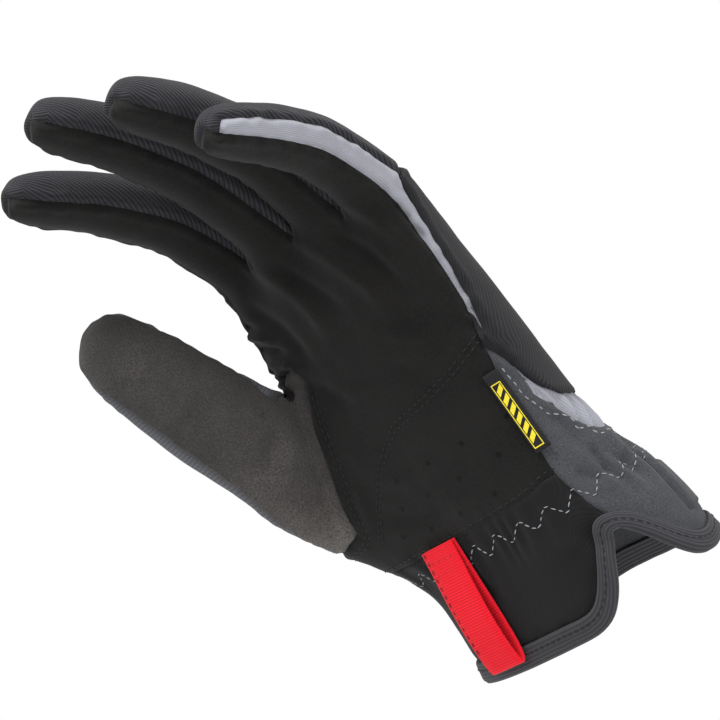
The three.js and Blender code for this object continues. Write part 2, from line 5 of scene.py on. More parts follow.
import bpy
import numpy as np
from mathutils import Matrix, Vector, kdtree, noise
from mathutils.bvhtree import BVHTree


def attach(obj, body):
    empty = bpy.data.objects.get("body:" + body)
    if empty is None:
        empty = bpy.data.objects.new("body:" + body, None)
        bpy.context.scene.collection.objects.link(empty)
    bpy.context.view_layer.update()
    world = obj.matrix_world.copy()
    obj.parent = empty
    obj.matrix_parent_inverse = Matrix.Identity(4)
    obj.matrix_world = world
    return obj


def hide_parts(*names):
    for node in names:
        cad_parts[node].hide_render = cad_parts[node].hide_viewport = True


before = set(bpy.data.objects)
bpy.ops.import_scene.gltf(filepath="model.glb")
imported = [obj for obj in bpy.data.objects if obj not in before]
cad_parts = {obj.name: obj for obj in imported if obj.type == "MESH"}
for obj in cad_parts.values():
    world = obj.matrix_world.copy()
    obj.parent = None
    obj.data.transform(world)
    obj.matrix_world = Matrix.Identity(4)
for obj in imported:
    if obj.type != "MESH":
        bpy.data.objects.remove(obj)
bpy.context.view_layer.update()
MM = 0.001

# The view: the camera looks at the edge of the palm by the little finger, rolled as in the
# photograph; angles in degrees, lens and sensor in millimetres
VIEW_AZIMUTH = 45
VIEW_ROLL = 32
VIEW_DISTANCE = 0.923
VIEW_LENS = 150
VIEW_SENSOR = 36
AIM = Vector((-0.0162, -0.0162, 0.1072))

# The hand form
# The glove is sewn from panels that together lie on one smooth surface: the worn hand. It is
# drawn here once as a coarse net, from the same shares as the solids, then smoothed and cut.
PALM_LENGTH = 0.131
PALM_WIDTH = 0.092
HAND_DEPTH = 0.048
FINGER_LENGTH = 0.091
FINGER_WIDTH = 0.023
THUMB_LENGTH = 0.075
THUMB_WIDTH = 0.032
BINDING_WIDTH = 0.0065

# Cross-sections of the hand: shares of PALM_LENGTH, PALM_WIDTH and HAND_DEPTH
SECTION_KEYS = ("height", "x", "y", "half", "palmar", "dorsal", "thenar", "slide")
SECTION_SCALE = (PALM_LENGTH, PALM_WIDTH, HAND_DEPTH, PALM_WIDTH, HAND_DEPTH, HAND_DEPTH, PALM_WIDTH, 1)
SECTIONS = np.array([
    (0.0, -0.017, 0.042, 0.571, 0.646, 0.708, 0.0, 0.0),
    (0.107, -0.012, 0.01, 0.538, 0.625, 0.646, 0.0, 0.0),
    (0.214, -0.002, -0.021, 0.527, 0.583, 0.604, 0.0, 0.0),
    (0.282, -0.008, -0.042, 0.507, 0.563, 0.563, 0.033, 0.0),
    (0.344, -0.043, -0.042, 0.48, 0.563, 0.521, 0.092, 0.0),
    (0.443, -0.086, -0.052, 0.482, 0.563, 0.479, 0.163, 0.1),
    (0.611, -0.125, -0.073, 0.518, 0.542, 0.438, 0.087, 0.9),
    (0.779, -0.124, -0.115, 0.509, 0.5, 0.417, 0.022, 1.35),
    (0.901, -0.103, -0.177, 0.499, 0.45, 0.388, 0.0, 0.5),
    (1.0, -0.091, -0.219, 0.49, 0.394, 0.358, 0.0, 0.0),
]) * SECTION_SCALE
ROUNDNESS = 2.2

# The net has 20 columns: 9 over the palm, the little-finger side, 9 over the back, the thumb side
SHARES = (-0.9, -0.72, -0.47, -0.21, 0.04, 0.29, 0.53, 0.74, 0.9)
SLIDES = (0.1, 0.25, 0.22, 0.16, 0.12, 0.08, 0.05, 0.02, 0.0)
COLUMNS = 20
SIDE = 9
THUMB_SIDE = 19
THENAR_COLUMNS = {18: 0.42, 19: 0.96, 0: 1.2, 1: 0.78, 2: 0.24}

# Rows above the cuff seam: shares of PALM_LENGTH at the thumb side, first palm column, palm,
# palm seam, little-finger side, back edge, back, and back edge by the thumb; then the shares of
# the half width where the palm seam and the column beside it run
ROW_COLUMNS = (-1, 0, 1, 4, 8, 9, 10, 14, 18, 19)
ROWS = [
    # thumb, first, palm, edge, side, rim, back, far, seam, reach
    (0.344, 0.344, 0.344, 0.344, 0.344, 0.336, 0.328, 0.336, 0.85, 1),
    (0.443, 0.443, 0.458, 0.519, 0.389, 0.366, 0.355, 0.389, 0.87, 1),
    (0.611, 0.611, 0.626, 0.695, 0.435, 0.393, 0.382, 0.458, 0.93, 1),
    (0.85, 0.862, 0.771, 0.725, 0.504, 0.481, 0.435, 0.565, 0.945, 0.99),
    (0.893, 0.893, 0.832, 0.779, 0.745, 0.672, 0.58, 0.702, 0.96, 0.978),
    (0.94, 0.934, 0.893, 0.886, 0.855, 0.824, 0.779, 0.84, 0.965, 0.983),
    (1.008, 0.985, 0.962, 0.985, 1.0, 1.008, 1.015, 1.015, 0.965, 0.985),
]
HOLE_ROW = 5
WRIST_EDGE = (
    0, 0, 0, 0, 0, 0, 0, 0.081, 0.268, 0,
    0.05, 0.05, 0.046, 0.046, 0.046, 0.046, 0.038, 0.03, 0.023, 0.008,
)
WRIST_SEAM, WRIST_REACH = 0.83, 0.99
CUFF_STEPS = (0.3, 0.68)
PALM_REACH = 0.985  # no column of the palm lies further out than this share

# Fingers: base centre, lean of the base ring, splay and bends in degrees, bone lengths, and half
# widths and depths at the base, two joints and tip
FINGERS = {
    "index": dict(
        base=(-0.418, -0.283, 1.153), lean=24, splay=-4, bends=(34, 54, 64), bones=(0.33, 0.297, 0.33),
        wide=(0.504, 0.478, 0.448, 0.417), deep=(0.452, 0.435, 0.409, 0.365)),
    "middle": dict(
        base=(-0.172, -0.365, 1.171), lean=25, splay=-1, bends=(28, 46, 58), bones=(0.363, 0.341, 0.297),
        wide=(0.491, 0.465, 0.448, 0.417), deep=(0.47, 0.452, 0.426, 0.374)),
    "ring": dict(
        base=(0.058, -0.302, 1.153), lean=25, splay=1, bends=(27, 46, 58), bones=(0.33, 0.297, 0.275),
        wide=(0.443, 0.435, 0.426, 0.4), deep=(0.452, 0.443, 0.417, 0.365)),
    "little": dict(
        base=(0.288, -0.292, 1.13), lean=25, splay=2, bends=(36, 58, 68), bones=(0.275, 0.209, 0.253),
        wide=(0.435, 0.422, 0.4, 0.365), deep=(0.435, 0.417, 0.391, 0.339)),
}
# Ring round a finger: degrees from its palm side, and the swell that makes up for smoothing
FINGER_RING = (
    (-56, 1.125), (0, 1.172), (56, 1.125), (96, 1.09),
    (138, 1.096), (180, 1.094), (222, 1.096), (264, 1.09),
)
# Rings along a finger: its bone, how far along the bone, the place in its sizes, and a shrink
FINGER_RINGS = (
    (0, 0, 0, 1), (0, 0.48, 0.5, 1), (1, 0, 1, 1), (1, 0.5, 1.5, 1),
    (2, 0, 2, 1), (2, 0.68, 3, 1), (2, 0.95, 3, 0.72),
)
FINGER_CAP = 0.3  # cloth over the tip, as a share of the finger's width
TIP_RISE = 0.5 * MM
WEB_SINK = 2 * MM

# Thumb rings: centre, lean, half width and depth, and how far each point is drawn to the hole
THUMB = [
    ((-0.511, -0.4, 0.672), 0.57, 0.6, 0.5, (0.4, 0.4, 0.4, 0.35, 0.1, 0, 0, 0.3)),
    ((-0.537, -0.45, 0.79), 0.36, 0.538, 0.469, (0.3, 0.3, 0.2, 0.1, 0, 0, 0, 0.1)),
    ((-0.589, -0.524, 0.898), 0.34, 0.509, 0.444, (0,) * 8),
    ((-0.633, -0.578, 1.01), 0.34, 0.475, 0.425, (0,) * 8),
    ((-0.677, -0.627, 1.115), 0.34, 0.422, 0.381, (0,) * 8),
    ((-0.711, -0.666, 1.198), 0.34, 0.319, 0.275, (0,) * 8),
]
THUMB_TURNS = (-45, 8, 48, 90, 132, 170, 225, 270)
THUMB_TIP = 0.07
THUMB_CAP = 0.2
WEB_SIDE = np.array((0.617, 0.617, 0.487))
SMOOTHING = 0.902  # a ring of 8 draws in to this share of its radius when it is smoothed
NET_LEVELS = 4


def section_at(z):
    at = np.clip(z, 0, PALM_LENGTH)
    return {key: float(np.interp(at, SECTIONS[:, 0], SECTIONS[:, i]))
            for i, key in enumerate(SECTION_KEYS)}


def on_hand(share, back, z):
    s = section_at(z)
    depth = max(0, 1 - abs(share) ** ROUNDNESS) ** (1 / ROUNDNESS)
    out = depth * (s["dorsal"] if back else -s["palmar"])
    return np.array((s["x"] + s["half"] * share, s["y"] + out, z))


def drawn_on(p):
    s = section_at(p[2])
    dx = (p[0] - s["x"]) / s["half"]
    dy = (p[1] - s["y"]) / (s["dorsal"] if p[1] > s["y"] else s["palmar"])
    r = (abs(dx) ** ROUNDNESS + abs(dy) ** ROUNDNESS) ** (1 / ROUNDNESS)
    return np.array((s["x"] + (p[0] - s["x"]) / r, s["y"] + (p[1] - s["y"]) / r, p[2]))


def swollen(p, column):
    swell = THENAR_COLUMNS.get(column, 0) * section_at(p[2])["thenar"] * math.sqrt(0.5)
    return p - (swell, swell, 0)


def column_point(column, z, seam, side_share):
    if column == SIDE:
        return on_hand(side_share, False, z)
    if column == THUMB_SIDE:
        return on_hand(-1, True, z)
    if column > SIDE:
        return on_hand(SHARES[18 - column], True, z)
    stretch = seam / SHARES[8] if column > 4 else 1
    share = SHARES[column] * stretch + SLIDES[column] * section_at(z)["slide"]
    return on_hand(min(share, PALM_REACH), False, z)


def row_height(row, column):
    thumb, first, palm, edge, side, rim, back, far = row[:8]
    stations = (thumb, first, first, palm, edge, side, rim, back, far, thumb)
    return PALM_LENGTH * float(np.interp(column, ROW_COLUMNS, stations))


def unit(v):
    return v / np.linalg.norm(v)


net_points, net_faces, net_panels, net_cloth = [], [], [], []


def add_point(p):
    net_points.append(np.array(p, float))
    return len(net_points) - 1


def add_face(corners, panel, cloth):
    """One face; cloth gives each corner's place on the flat cloth, round and along, in metres."""
    net_faces.append(corners)
    net_panels.append(panel)
    net_cloth.append(cloth)


def cloth_patch(left, right, low, high):
    return [(left, low), (right, low), (right, high), (left, high)]


def finger_frames(f):
    """A finger's rings, the end of its tip and the lean of its base."""
    splay = math.radians(f["splay"])

    def axis(deg):
        turn = math.radians(deg)
        return np.array((math.sin(splay), -math.sin(turn) * math.cos(splay),
                         math.cos(turn) * math.cos(splay)))

    across = np.array((math.cos(splay), 0, -math.sin(splay)))
    bends = f["bends"]
    joints = [np.array(f["base"]) * (PALM_WIDTH, HAND_DEPTH, PALM_LENGTH)]
    for bend, bone in zip(bends, f["bones"]):
        joints.append(joints[-1] + axis(bend) * bone * FINGER_LENGTH)
    rings = []
    for bone, share, k, shrink in FINGER_RINGS:
        centre = joints[bone] + (joints[bone + 1] - joints[bone]) * share
        if share > 0:
            along = axis(bends[bone])
        else:
            along = axis((bends[bone - 1] + bends[bone]) / 2 if bone else f["lean"])
        side = unit(across - along * (across @ along))
        palmward = unit(np.cross(side, along))
        palmward *= -np.sign(palmward[1])
        wide = float(np.interp(k, range(4), f["wide"])) * FINGER_WIDTH * shrink
        deep = float(np.interp(k, range(4), f["deep"])) * FINGER_WIDTH * shrink
        ring = []
        for turn, swell in FINGER_RING:
            a = math.radians(turn)
            ring.append(centre + side * math.sin(a) * wide * swell
                        + palmward * math.cos(a) * deep * swell)
        rings.append(ring)
    return rings, joints[3] + axis(bends[2]) * TIP_RISE, axis(f["lean"])


# Bases of the fingers: neighbours share the points of the web between them
finger_list = [finger_frames(f) for f in FINGERS.values()]
base_ids = [[-1] * 8 for _ in finger_list]
WEB_PAIRS = {2: 0, 3: 7, 4: 6}
for i, (rings, _, lean) in enumerate(finger_list):
    for k in range(8):
        if i > 0 and k in (0, 6, 7):
            continue
        p = np.array(rings[0][k])
        if k in WEB_PAIRS and i < 3:
            p = (p + finger_list[i + 1][0][0][WEB_PAIRS[k]]) / 2
            if k == 3:
                p = p - lean * WEB_SINK
            base_ids[i][k] = add_point(p)
            base_ids[i + 1][WEB_PAIRS[k]] = base_ids[i][k]
        else:
            base_ids[i][k] = add_point(p)
knuckle_row = [base_ids[0][0]]
for ids in base_ids:
    knuckle_row += [ids[1], ids[2]]
knuckle_row += [base_ids[3][3], base_ids[3][4]]
for i in (3, 2, 1, 0):
    knuckle_row += [base_ids[i][5], base_ids[i][6]]
knuckle_row.append(base_ids[0][7])

# Wrist edge, binding and cuff rows, then the rows of the palm
seam_row = ROWS[0]
wrist_row = [column_point(c, share * PALM_LENGTH, WRIST_SEAM, WRIST_REACH)
             for c, share in enumerate(WRIST_EDGE)]
binding_row = []
for c, p in enumerate(wrist_row):
    tangent = wrist_row[(c + 1) % COLUMNS] - wrist_row[c - 1]
    s = section_at(p[2])
    outward = unit(np.array(((p[0] - s["x"]) / s["half"], (p[1] - s["y"]) / s["palmar"], 0)))
    upward = unit(np.cross(outward, tangent))
    binding_row.append(drawn_on(p + upward * math.copysign(BINDING_WIDTH, upward[2])))
net_rows = [wrist_row, binding_row]
for step in CUFF_STEPS:
    tops = [column_point(c, row_height(seam_row, c), seam_row[8], 1) for c in range(COLUMNS)]
    net_rows.append([drawn_on(p + (top - p) * step) for p, top in zip(binding_row, tops)])
for row in ROWS:
    net_rows.append([column_point(c, row_height(row, c), row[8], row[9]) for c in range(COLUMNS)])
row_ids = []
for j, points in enumerate(net_rows):
    hidden = j == HOLE_ROW + 1
    row_ids.append([-1 if hidden and c == 0 else add_point(swollen(p, c)) for c, p in enumerate(points)])
row_ids.append(knuckle_row)

CUFF_SEAM_ROW = 4
CUFF_TOP_ROW = 6
GUSSET_TOP_ROW = 7
COLUMN_PITCH = 0.0115


def palm_panel(row, column):
    """The panel of a net face; one split between two panels names a panel for each corner."""
    if row == 0:
        return "cuff_binding"
    if row < CUFF_SEAM_ROW:
        return "cuff_front" if column < 8 else "cuff_back"
    if column == 0 and row == GUSSET_TOP_ROW:
        return ("thumb_web", "thumb_front", "thumb_front", "thumb_web")
    if column < 8:
        return "palm"
    if row < CUFF_TOP_ROW:
        return "cuff_back"
    if row < GUSSET_TOP_ROW:
        if column == 8:
            return ("cuff_back", "wrist_gusset", "wrist_gusset", "cuff_back")
        return "wrist_gusset" if column < 18 else "back_panel"
    if column == 8 and row > GUSSET_TOP_ROW:
        return "side_band"
    if column == THUMB_SIDE and row == GUSSET_TOP_ROW:
        return "thumb_web"
    return "back_panel"


for j in range(len(row_ids) - 1):
    for c in range(COLUMNS):
        n = (c + 1) % COLUMNS
        if HOLE_ROW <= j < HOLE_ROW + 2 and c in (THUMB_SIDE, 0):
            continue
        corners = [row_ids[j][c], row_ids[j][n], row_ids[j + 1][n], row_ids[j + 1][c]]
        rounds = (c, c + 1, c + 1, c)
        heights = (0, 0, BINDING_WIDTH, BINDING_WIDTH) if j == 0 else [net_points[i][2] for i in corners]
        cloth = [(u * COLUMN_PITCH, v) for u, v in zip(rounds, heights)]
        add_face(corners, palm_panel(j, c), cloth)

# Fingers: the suede of the palm runs up the front, knit covers the sides and back
for i, ((rings, tip, _), name) in enumerate(zip(finger_list, FINGERS)):
    turns = [math.radians(turn) * FINGER_WIDTH / 2 for turn, _ in FINGER_RING]
    turns.append(turns[0] + math.tau * FINGER_WIDTH / 2)
    last, along = base_ids[i], 0.0
    middle = np.mean(rings[0], axis=0)
    for ring in rings[1:]:
        ids = [add_point(p) for p in ring]
        step = float(np.linalg.norm(np.mean(ring, axis=0) - middle))
        middle = np.mean(ring, axis=0)
        for k in range(8):
            n = (k + 1) % 8
            panel = "palm" if k < 2 else "finger_back_" + name
            if k == 2 and name == "little":
                panel = "side_band"
            cloth = cloth_patch(turns[k], turns[k + 1], along, along + step)
            add_face([last[k], last[n], ids[n], ids[k]], panel, cloth)
        last, along = ids, along + step
    tip_id = add_point(tip)
    for k in range(0, 8, 2):
        cap = along + FINGER_WIDTH * FINGER_CAP
        cloth = [(turns[k], along), (turns[k + 1], along), (turns[k + 2], along), (turns[k + 1], cap)]
        panel = "palm" if k == 0 else "finger_back_" + name
        add_face([last[k], last[k + 1], last[(k + 2) % 8], tip_id], panel, cloth)

# Thumb: rings that grow out of the hole in the palm net
low, mid, high = row_ids[HOLE_ROW], row_ids[HOLE_ROW + 1], row_ids[HOLE_ROW + 2]
last = [high[19], high[0], high[1], mid[1], low[1], low[0], low[19], mid[19]]
hole = [net_points[i] for i in last]
turns = [math.radians(t) * THUMB_WIDTH / 2 for t in THUMB_TURNS + (THUMB_TURNS[0] + 360,)]
middle, height = np.mean(hole, axis=0), 0.0
for r, (at, lean, wide, deep, draw) in enumerate(THUMB):
    along = np.array((-lean, -lean, math.sqrt(1 - 2 * lean * lean)))
    webward = unit(WEB_SIDE - along * (WEB_SIDE @ along))
    padward = unit(np.cross(along, webward))
    padward *= -np.sign(padward[1])
    centre = np.array(at) * (PALM_WIDTH, PALM_WIDTH, PALM_LENGTH)
    ids = []
    for k, turn in enumerate(THUMB_TURNS):
        a = math.radians(turn)
        out = webward * math.cos(a) * wide + padward * math.sin(a) * deep
        p = centre + out * THUMB_WIDTH / SMOOTHING
        ids.append(add_point(p + (hole[k] - p) * draw[k]))
    step = float(np.linalg.norm(centre - middle))
    middle = centre
    for k in range(8):
        n = (k + 1) % 8
        panel = "thumb_front" if 0 < k < 5 else "thumb_back"
        if r == 0 and k in (0, 7):
            panel = "thumb_web"
        if r == 0 and k == 1:
            panel = ("thumb_web", "thumb_web", "thumb_front", "thumb_front")
        cloth = cloth_patch(turns[k], turns[k + 1], height, height + step)
        add_face([last[k], ids[k], ids[n], last[n]], panel, cloth[:1] + cloth[:0:-1])
    last, height = ids, height + step
tip_id = add_point(centre + along * THUMB_TIP * THUMB_LENGTH)
for k in (1, 3, 5, 7):
    cap = height + THUMB_WIDTH * THUMB_CAP
    panel = "thumb_front" if k < 5 else "thumb_back"
    cloth = [(turns[k], cap), (turns[k + 1], height), (turns[k], height), (turns[k], height)]
    add_face([tip_id, last[(k + 2) % 8], last[(k + 1) % 8], last[k]], panel, cloth)


def smoothed(points, quads, cloth):
    """One smoothing step: each quad gives four, in place, so a panel's quads stay together."""
    n_points, n_quads = len(points), len(quads)
    middles = points[quads].mean(1)
    edges = np.sort(np.stack([quads, np.roll(quads, -1, 1)], -1).reshape(-1, 2), 1)
    unique, inverse, count = np.unique(edges, axis=0, return_inverse=True, return_counts=True)
    inverse = inverse.ravel()
    halfway = points[unique].mean(1)
    beside = np.zeros((len(unique), 3))
    np.add.at(beside, inverse, middles[np.repeat(np.arange(n_quads), 4)])
    inner = count == 2
    edge_points = halfway.copy()
    edge_points[inner] = (points[unique[inner]].sum(1) + beside[inner]) / 4
    valence = np.zeros(n_points)
    np.add.at(valence, unique.ravel(), 1)
    face_sum, face_count, edge_sum = np.zeros_like(points), np.zeros(n_points), np.zeros_like(points)
    np.add.at(face_sum, quads.ravel(), np.repeat(middles, 4, 0))
    np.add.at(face_count, quads.ravel(), 1)
    for side in (0, 1):
        np.add.at(edge_sum, unique[:, side], halfway)
    n = valence[:, None]
    moved = (face_sum / face_count[:, None] + 2 * edge_sum / n + (n - 3) * points) / n
    open_edges = unique[~inner]
    ends, end_count = np.zeros_like(points), np.zeros(n_points)
    for a, b in ((0, 1), (1, 0)):
        np.add.at(ends, open_edges[:, a], points[open_edges[:, b]])
        np.add.at(end_count, open_edges[:, a], 1)
    on_edge = end_count > 0
    moved[on_edge] = 0.75 * points[on_edge] + 0.25 * ends[on_edge] / end_count[on_edge][:, None]
    edge_id = n_points + inverse.reshape(-1, 4)
    middle_id = n_points + len(unique) + np.arange(n_quads)
    quad_list, cloth_list = [], []
    for k in range(4):
        quad_list.append(np.stack([quads[:, k], edge_id[:, k], middle_id, edge_id[:, k - 1]], 1))
        here, ahead, behind = cloth[:, k], cloth[:, (k + 1) % 4], cloth[:, k - 1]
        cloth_list.append(np.stack([here, (here + ahead) / 2, cloth.mean(1), (here + behind) / 2], 1))
    new_quads = np.stack(quad_list, 1).reshape(-1, 4)
    new_cloth = np.stack(cloth_list, 1).reshape(-1, 4, 2)
    return np.concatenate([moved, edge_points, middles]), new_quads, new_cloth


def vertex_normals(points, quads):
    one, other = (points[quads[:, k + 2]] - points[quads[:, k]] for k in (0, 1))
    normal = np.cross(one, other)
    out = np.zeros_like(points)
    for k in range(4):
        np.add.at(out, quads[:, k], normal)
    return out / np.linalg.norm(out, axis=1)[:, None]


used, quads = np.unique(np.array(net_faces), return_inverse=True)
hand, quads, cloth = np.array(net_points)[used], quads.reshape(-1, 4), np.array(net_cloth, float)
for _ in range(NET_LEVELS):
    hand, quads, cloth = smoothed(hand, quads, cloth)
corner_panels = []
for entry in net_panels:
    corner_panels += [entry] * 4 if isinstance(entry, str) else entry
panel_of = np.repeat(np.array(corner_panels), 4 ** (NET_LEVELS - 1))
hand_normal = vertex_normals(hand, quads)

# Lines on the glove are given as the camera sees them: across the palm and up the hand, in
# millimetres. Seam slides move the panels' seams over the hand's surface to where they are worn
# to: points of a line, how far each moves across and up, and the slide's reach. In order: the
# palm's edge, the hem, the light band, the thumb's back seam, and two by the thumb's crotch.
SEEN_ACROSS = np.array((1, 1, 0)) * math.sqrt(0.5)
TO_CAMERA = np.array((1, -1, 0)) * math.sqrt(0.5)
LEAST_SLIDE = 0.02 * MM
LEAST_FACING = 0.4  # keeps a slide short where the surface turns away from the camera
SEAM_SLIDES = [
    (((11, 36), (11, 48), (11, 62), (11, 76), (9.5, 92), (9, 106)),
     ((-4.4, 0.3), (-4.2, 0.3), (-2.8, 0.6), (-3.6, -0.4), (-2.2, 0.4), (0, 0)), 9),
    (((17, 76), (20.9, 68.1), (24.2, 60.5), (27, 56), (31, 53)),
     ((0, -0.6), (-0.6, -1.8), (-0.6, -2.8), (0, -3.0), (0, -2.2)), 4),
    (((18.2, 92), (18.6, 104), (19, 115), (19, 126), (19, 140), (18.8, 152)),
     ((-4.2, 0), (-3.4, 0), (-2.8, 0), (-2.2, 0), (-1.2, 0), (0, 0)), 3.6),
    (((-96, 138), (-88, 118), (-76, 96), (-63, 73), (-52, 54)),
     ((2.0, 0.8), (3.4, 1.6), (4.2, 2.0), (3.8, 1.8), (1.0, 0.5)), 5),
    (((-43, 119), (-44.3, 116), (-45.2, 106.6), (-44, 96)),
     ((1.6, -0.4), (2.2, -0.8), (1.8, -0.4), (0, 0)), 3.5),
    (((-58, 117), (-54.5, 115), (-50, 115)),
     ((-1.4, -2.4), (-2.6, -4.2), (-1.6, -3.6)), 4),
]


def run_along(path):
    """How far along a line of points each of them lies."""
    return np.concatenate([[0], np.cumsum(np.linalg.norm(np.diff(path, axis=0), axis=1))])


def along_line(seen, line):
    """For points as seen, their distance from a line and how far along it the nearest place is."""
    path = np.array(line) * MM
    lengths = run_along(path)
    best, place = np.full(len(seen), 1.0), np.zeros(len(seen))
    for a, b, start in zip(path[:-1], path[1:], lengths):
        span = b - a
        t = np.clip(((seen - a) @ span) / (span @ span), 0, 1)
        away = np.linalg.norm(seen - a - t[:, None] * span, axis=1)
        nearer = away < best
        best[nearer] = away[nearer]
        place[nearer] = (start + t * np.linalg.norm(span))[nearer]
    return best, place, lengths


def as_seen(points):
    return np.stack([points @ SEEN_ACROSS, points[:, 2]], 1)


def slid(points, normals):
    """The points moved by the seam slides, back onto the surface they came from."""
    towards = normals @ TO_CAMERA
    seen = as_seen(points)
    shift = np.zeros((len(points), 2))
    for line, moves, reach in SEAM_SLIDES:
        best, place, lengths = along_line(seen, line)
        fade = np.exp(-((best / (reach * MM)) ** 2)) * np.clip(towards * 5 + 0.6, 0, 1)
        for axis in (0, 1):
            shift[:, axis] += np.interp(place, lengths, [move[axis] * MM for move in moves]) * fade
    out = points.copy()
    tree = BVHTree.FromPolygons([Vector(p) for p in points], quads.tolist())
    for i in np.nonzero(np.abs(shift).max(1) > LEAST_SLIDE)[0]:
        flat = SEEN_ACROSS * shift[i, 0] + np.array((0, 0, shift[i, 1]))
        deep = -(flat @ normals[i]) / max(towards[i], LEAST_FACING)
        out[i] = tree.find_nearest(Vector(points[i] + flat + TO_CAMERA * deep))[0]
    return out


hand = slid(hand, hand_normal)
hand_normal = vertex_normals(hand, quads)

# Folds that bending the hand presses into the cloth: a line, its half width and its height,
# which FOLD_DEPTH scales
FOLDS = [
    # the palm below the fingers
    (((-22, 152), (-15, 139), (-9, 124), (-8, 112)), 2.4, 0.7),
    (((-11, 146), (-4, 133), (0, 117)), 2.0, -0.7),
    (((-37, 152), (-31, 141), (-27, 128), (-26, 114)), 2.6, 0.7),
    (((-30, 146), (-24, 134), (-19, 122)), 1.8, -0.6),
    (((-45, 142), (-39, 129), (-36, 112)), 2.2, -0.7),
    (((-4, 154), (3, 141), (8, 126)), 2.2, 0.6),
    (((8, 146), (11, 136), (13, 124)), 1.6, -0.4),
    # the limb between the index finger and the thumb's crotch
    (((-58, 142), (-51, 138), (-45, 131)), 1.3, -0.9),
    (((-54, 136), (-48, 132), (-42, 126)), 1.3, 0.8),
    (((-53, 129), (-47, 126), (-41, 121)), 1.1, -0.7),
    (((-50, 122), (-44, 119), (-38, 113)), 1.4, 0.6),
    # the middle of the palm and the ball of the thumb
    (((-46, 112), (-38, 106), (-32, 95)), 2.6, -0.6),
    (((-34, 104), (-22, 99), (-6, 97)), 3.0, -0.5),
    (((-14, 110), (-4, 104), (4, 101)), 2.4, 0.4),
    (((-40, 74), (-28, 67), (-12, 65)), 3.2, 0.5),
    (((-44, 62), (-34, 56), (-22, 53)), 2.6, -0.5),
    (((-68, 92), (-61, 97), (-55, 104)), 2.4, -0.7),
    (((-66, 82), (-58, 90), (-50, 100)), 2.8, 0.5),
    (((-56, 66), (-52, 78), (-48, 92)), 3.0, -0.5),
    (((-49, 56), (-46, 66), (-44, 78)), 2.4, 0.4),
    (((-92, 140), (-84, 136), (-78, 134)), 2.0, -0.3),
    (((-86, 122), (-78, 122), (-70, 126)), 2.2, 0.3),
    # the cuff
    (((15, 66), (18, 58), (19, 49)), 1.8, -0.5),
    (((22, 50), (23, 45), (23, 39)), 1.5, -0.9),
    (((27, 52), (28, 46), (29, 40)), 1.5, 0.8),
    (((32, 50), (33, 45), (34, 40)), 1.4, -0.9),
    (((14, 46), (17, 42), (22, 38)), 1.8, -0.6),
    (((2, 30), (8, 24), (16, 18)), 3.2, -0.5),
    (((-14, 34), (-4, 28), (8, 26)), 2.8, 0.4),
    (((-34, 40), (-28, 30), (-24, 20)), 2.4, -0.6),
]
FOLD_DEPTH = 2.2
FOLD_FADE = 0.25  # share of a fold's length over which each end fades


def fold_relief(points, normals):
    """Height of the folds at each point, on the side that the camera sees."""
    seen = as_seen(points)
    facing = np.clip((normals @ TO_CAMERA + 0.1) * 4, 0, 1)
    relief = np.zeros(len(points))
    for line, width, height in FOLDS:
        best, place, lengths = along_line(seen, line)
        share = place / lengths[-1]
        ends = np.clip(np.minimum(share, 1 - share) / FOLD_FADE, 0, 1)
        relief += FOLD_DEPTH * height * MM * np.exp(-((best / (width * MM)) ** 2)) * ends * facing
    return relief


# Ripples: the whole cloth is slightly uneven, the elastic row at the wrist draws it in and into
# short upright gathers that are deepest on the back, and the light gusset is gathered all round
UNEVEN = ((0.016, 0.00035), (0.006, 0.00012))  # size and height of the noise
ELASTIC_HEIGHT = 0.039
ELASTIC_REACH = 0.007
ELASTIC_DEPTH = 0.0011
GATHER_HEIGHT = 0.0017
GATHER_TURNS = 0.045 * math.tau / 0.0075
GATHER_WANDER = 5
GATHER_NOISE = (0.012, 7.0)  # size and seed
GATHER_STRETCH = (1, 1, 0.3)
GATHER_SHARPNESS = 0.7
DORSAL = np.array((0.35, 1, 0)) * 40
# A plain raised patch on the cuff's back: from and to, in degrees round the wrist, and heights
PATCH_TURNS = (9, 64)
PATCH_TURN_SLOPE = 1.2
PATCH_HEIGHTS = (0.017, 0.034)
PATCH_HEIGHT_SLOPE = 1600
PATCH_RISE = 0.001
PATCH_CALM = 0.7
GROOVE_TURN, GROOVE_WIDTH = 0.6, 1.1
GROOVE_DEPTH = 0.0016
GUSSET_TURNS = 0.04 * math.tau / 0.008
GUSSET_HEIGHT = 0.0009
GUSSET_SINK = 0.6
GUSSET_WANDER = 6
GUSSET_NOISE = (0.02, 3.0)
PUCKER_NOISE = (0.0038, 11.0)


def cloth_noise(points, size, seed):
    return np.array([noise.noise(Vector(p) / size + Vector((seed, 0, 0))) for p in points])


def patch_relief(points, round_angle):
    """How far each point is in the patch, from 0 to 1, and in the groove along its near edge."""
    turn, height = np.degrees(round_angle), points[:, 2]
    first, last = PATCH_TURNS
    low, high = PATCH_HEIGHTS
    rise = np.clip((turn - first) / PATCH_TURN_SLOPE, 0, 1)
    rise *= np.clip((last - turn) / PATCH_TURN_SLOPE, 0, 1)
    rise *= np.clip((height - low) * PATCH_HEIGHT_SLOPE, 0, 1)
    rise *= np.clip((high - height) * PATCH_HEIGHT_SLOPE, 0, 1)
    groove = np.exp(-(((turn - first + GROOVE_TURN) / GROOVE_WIDTH) ** 2))
    return rise, groove * ((height > low) & (height < high))


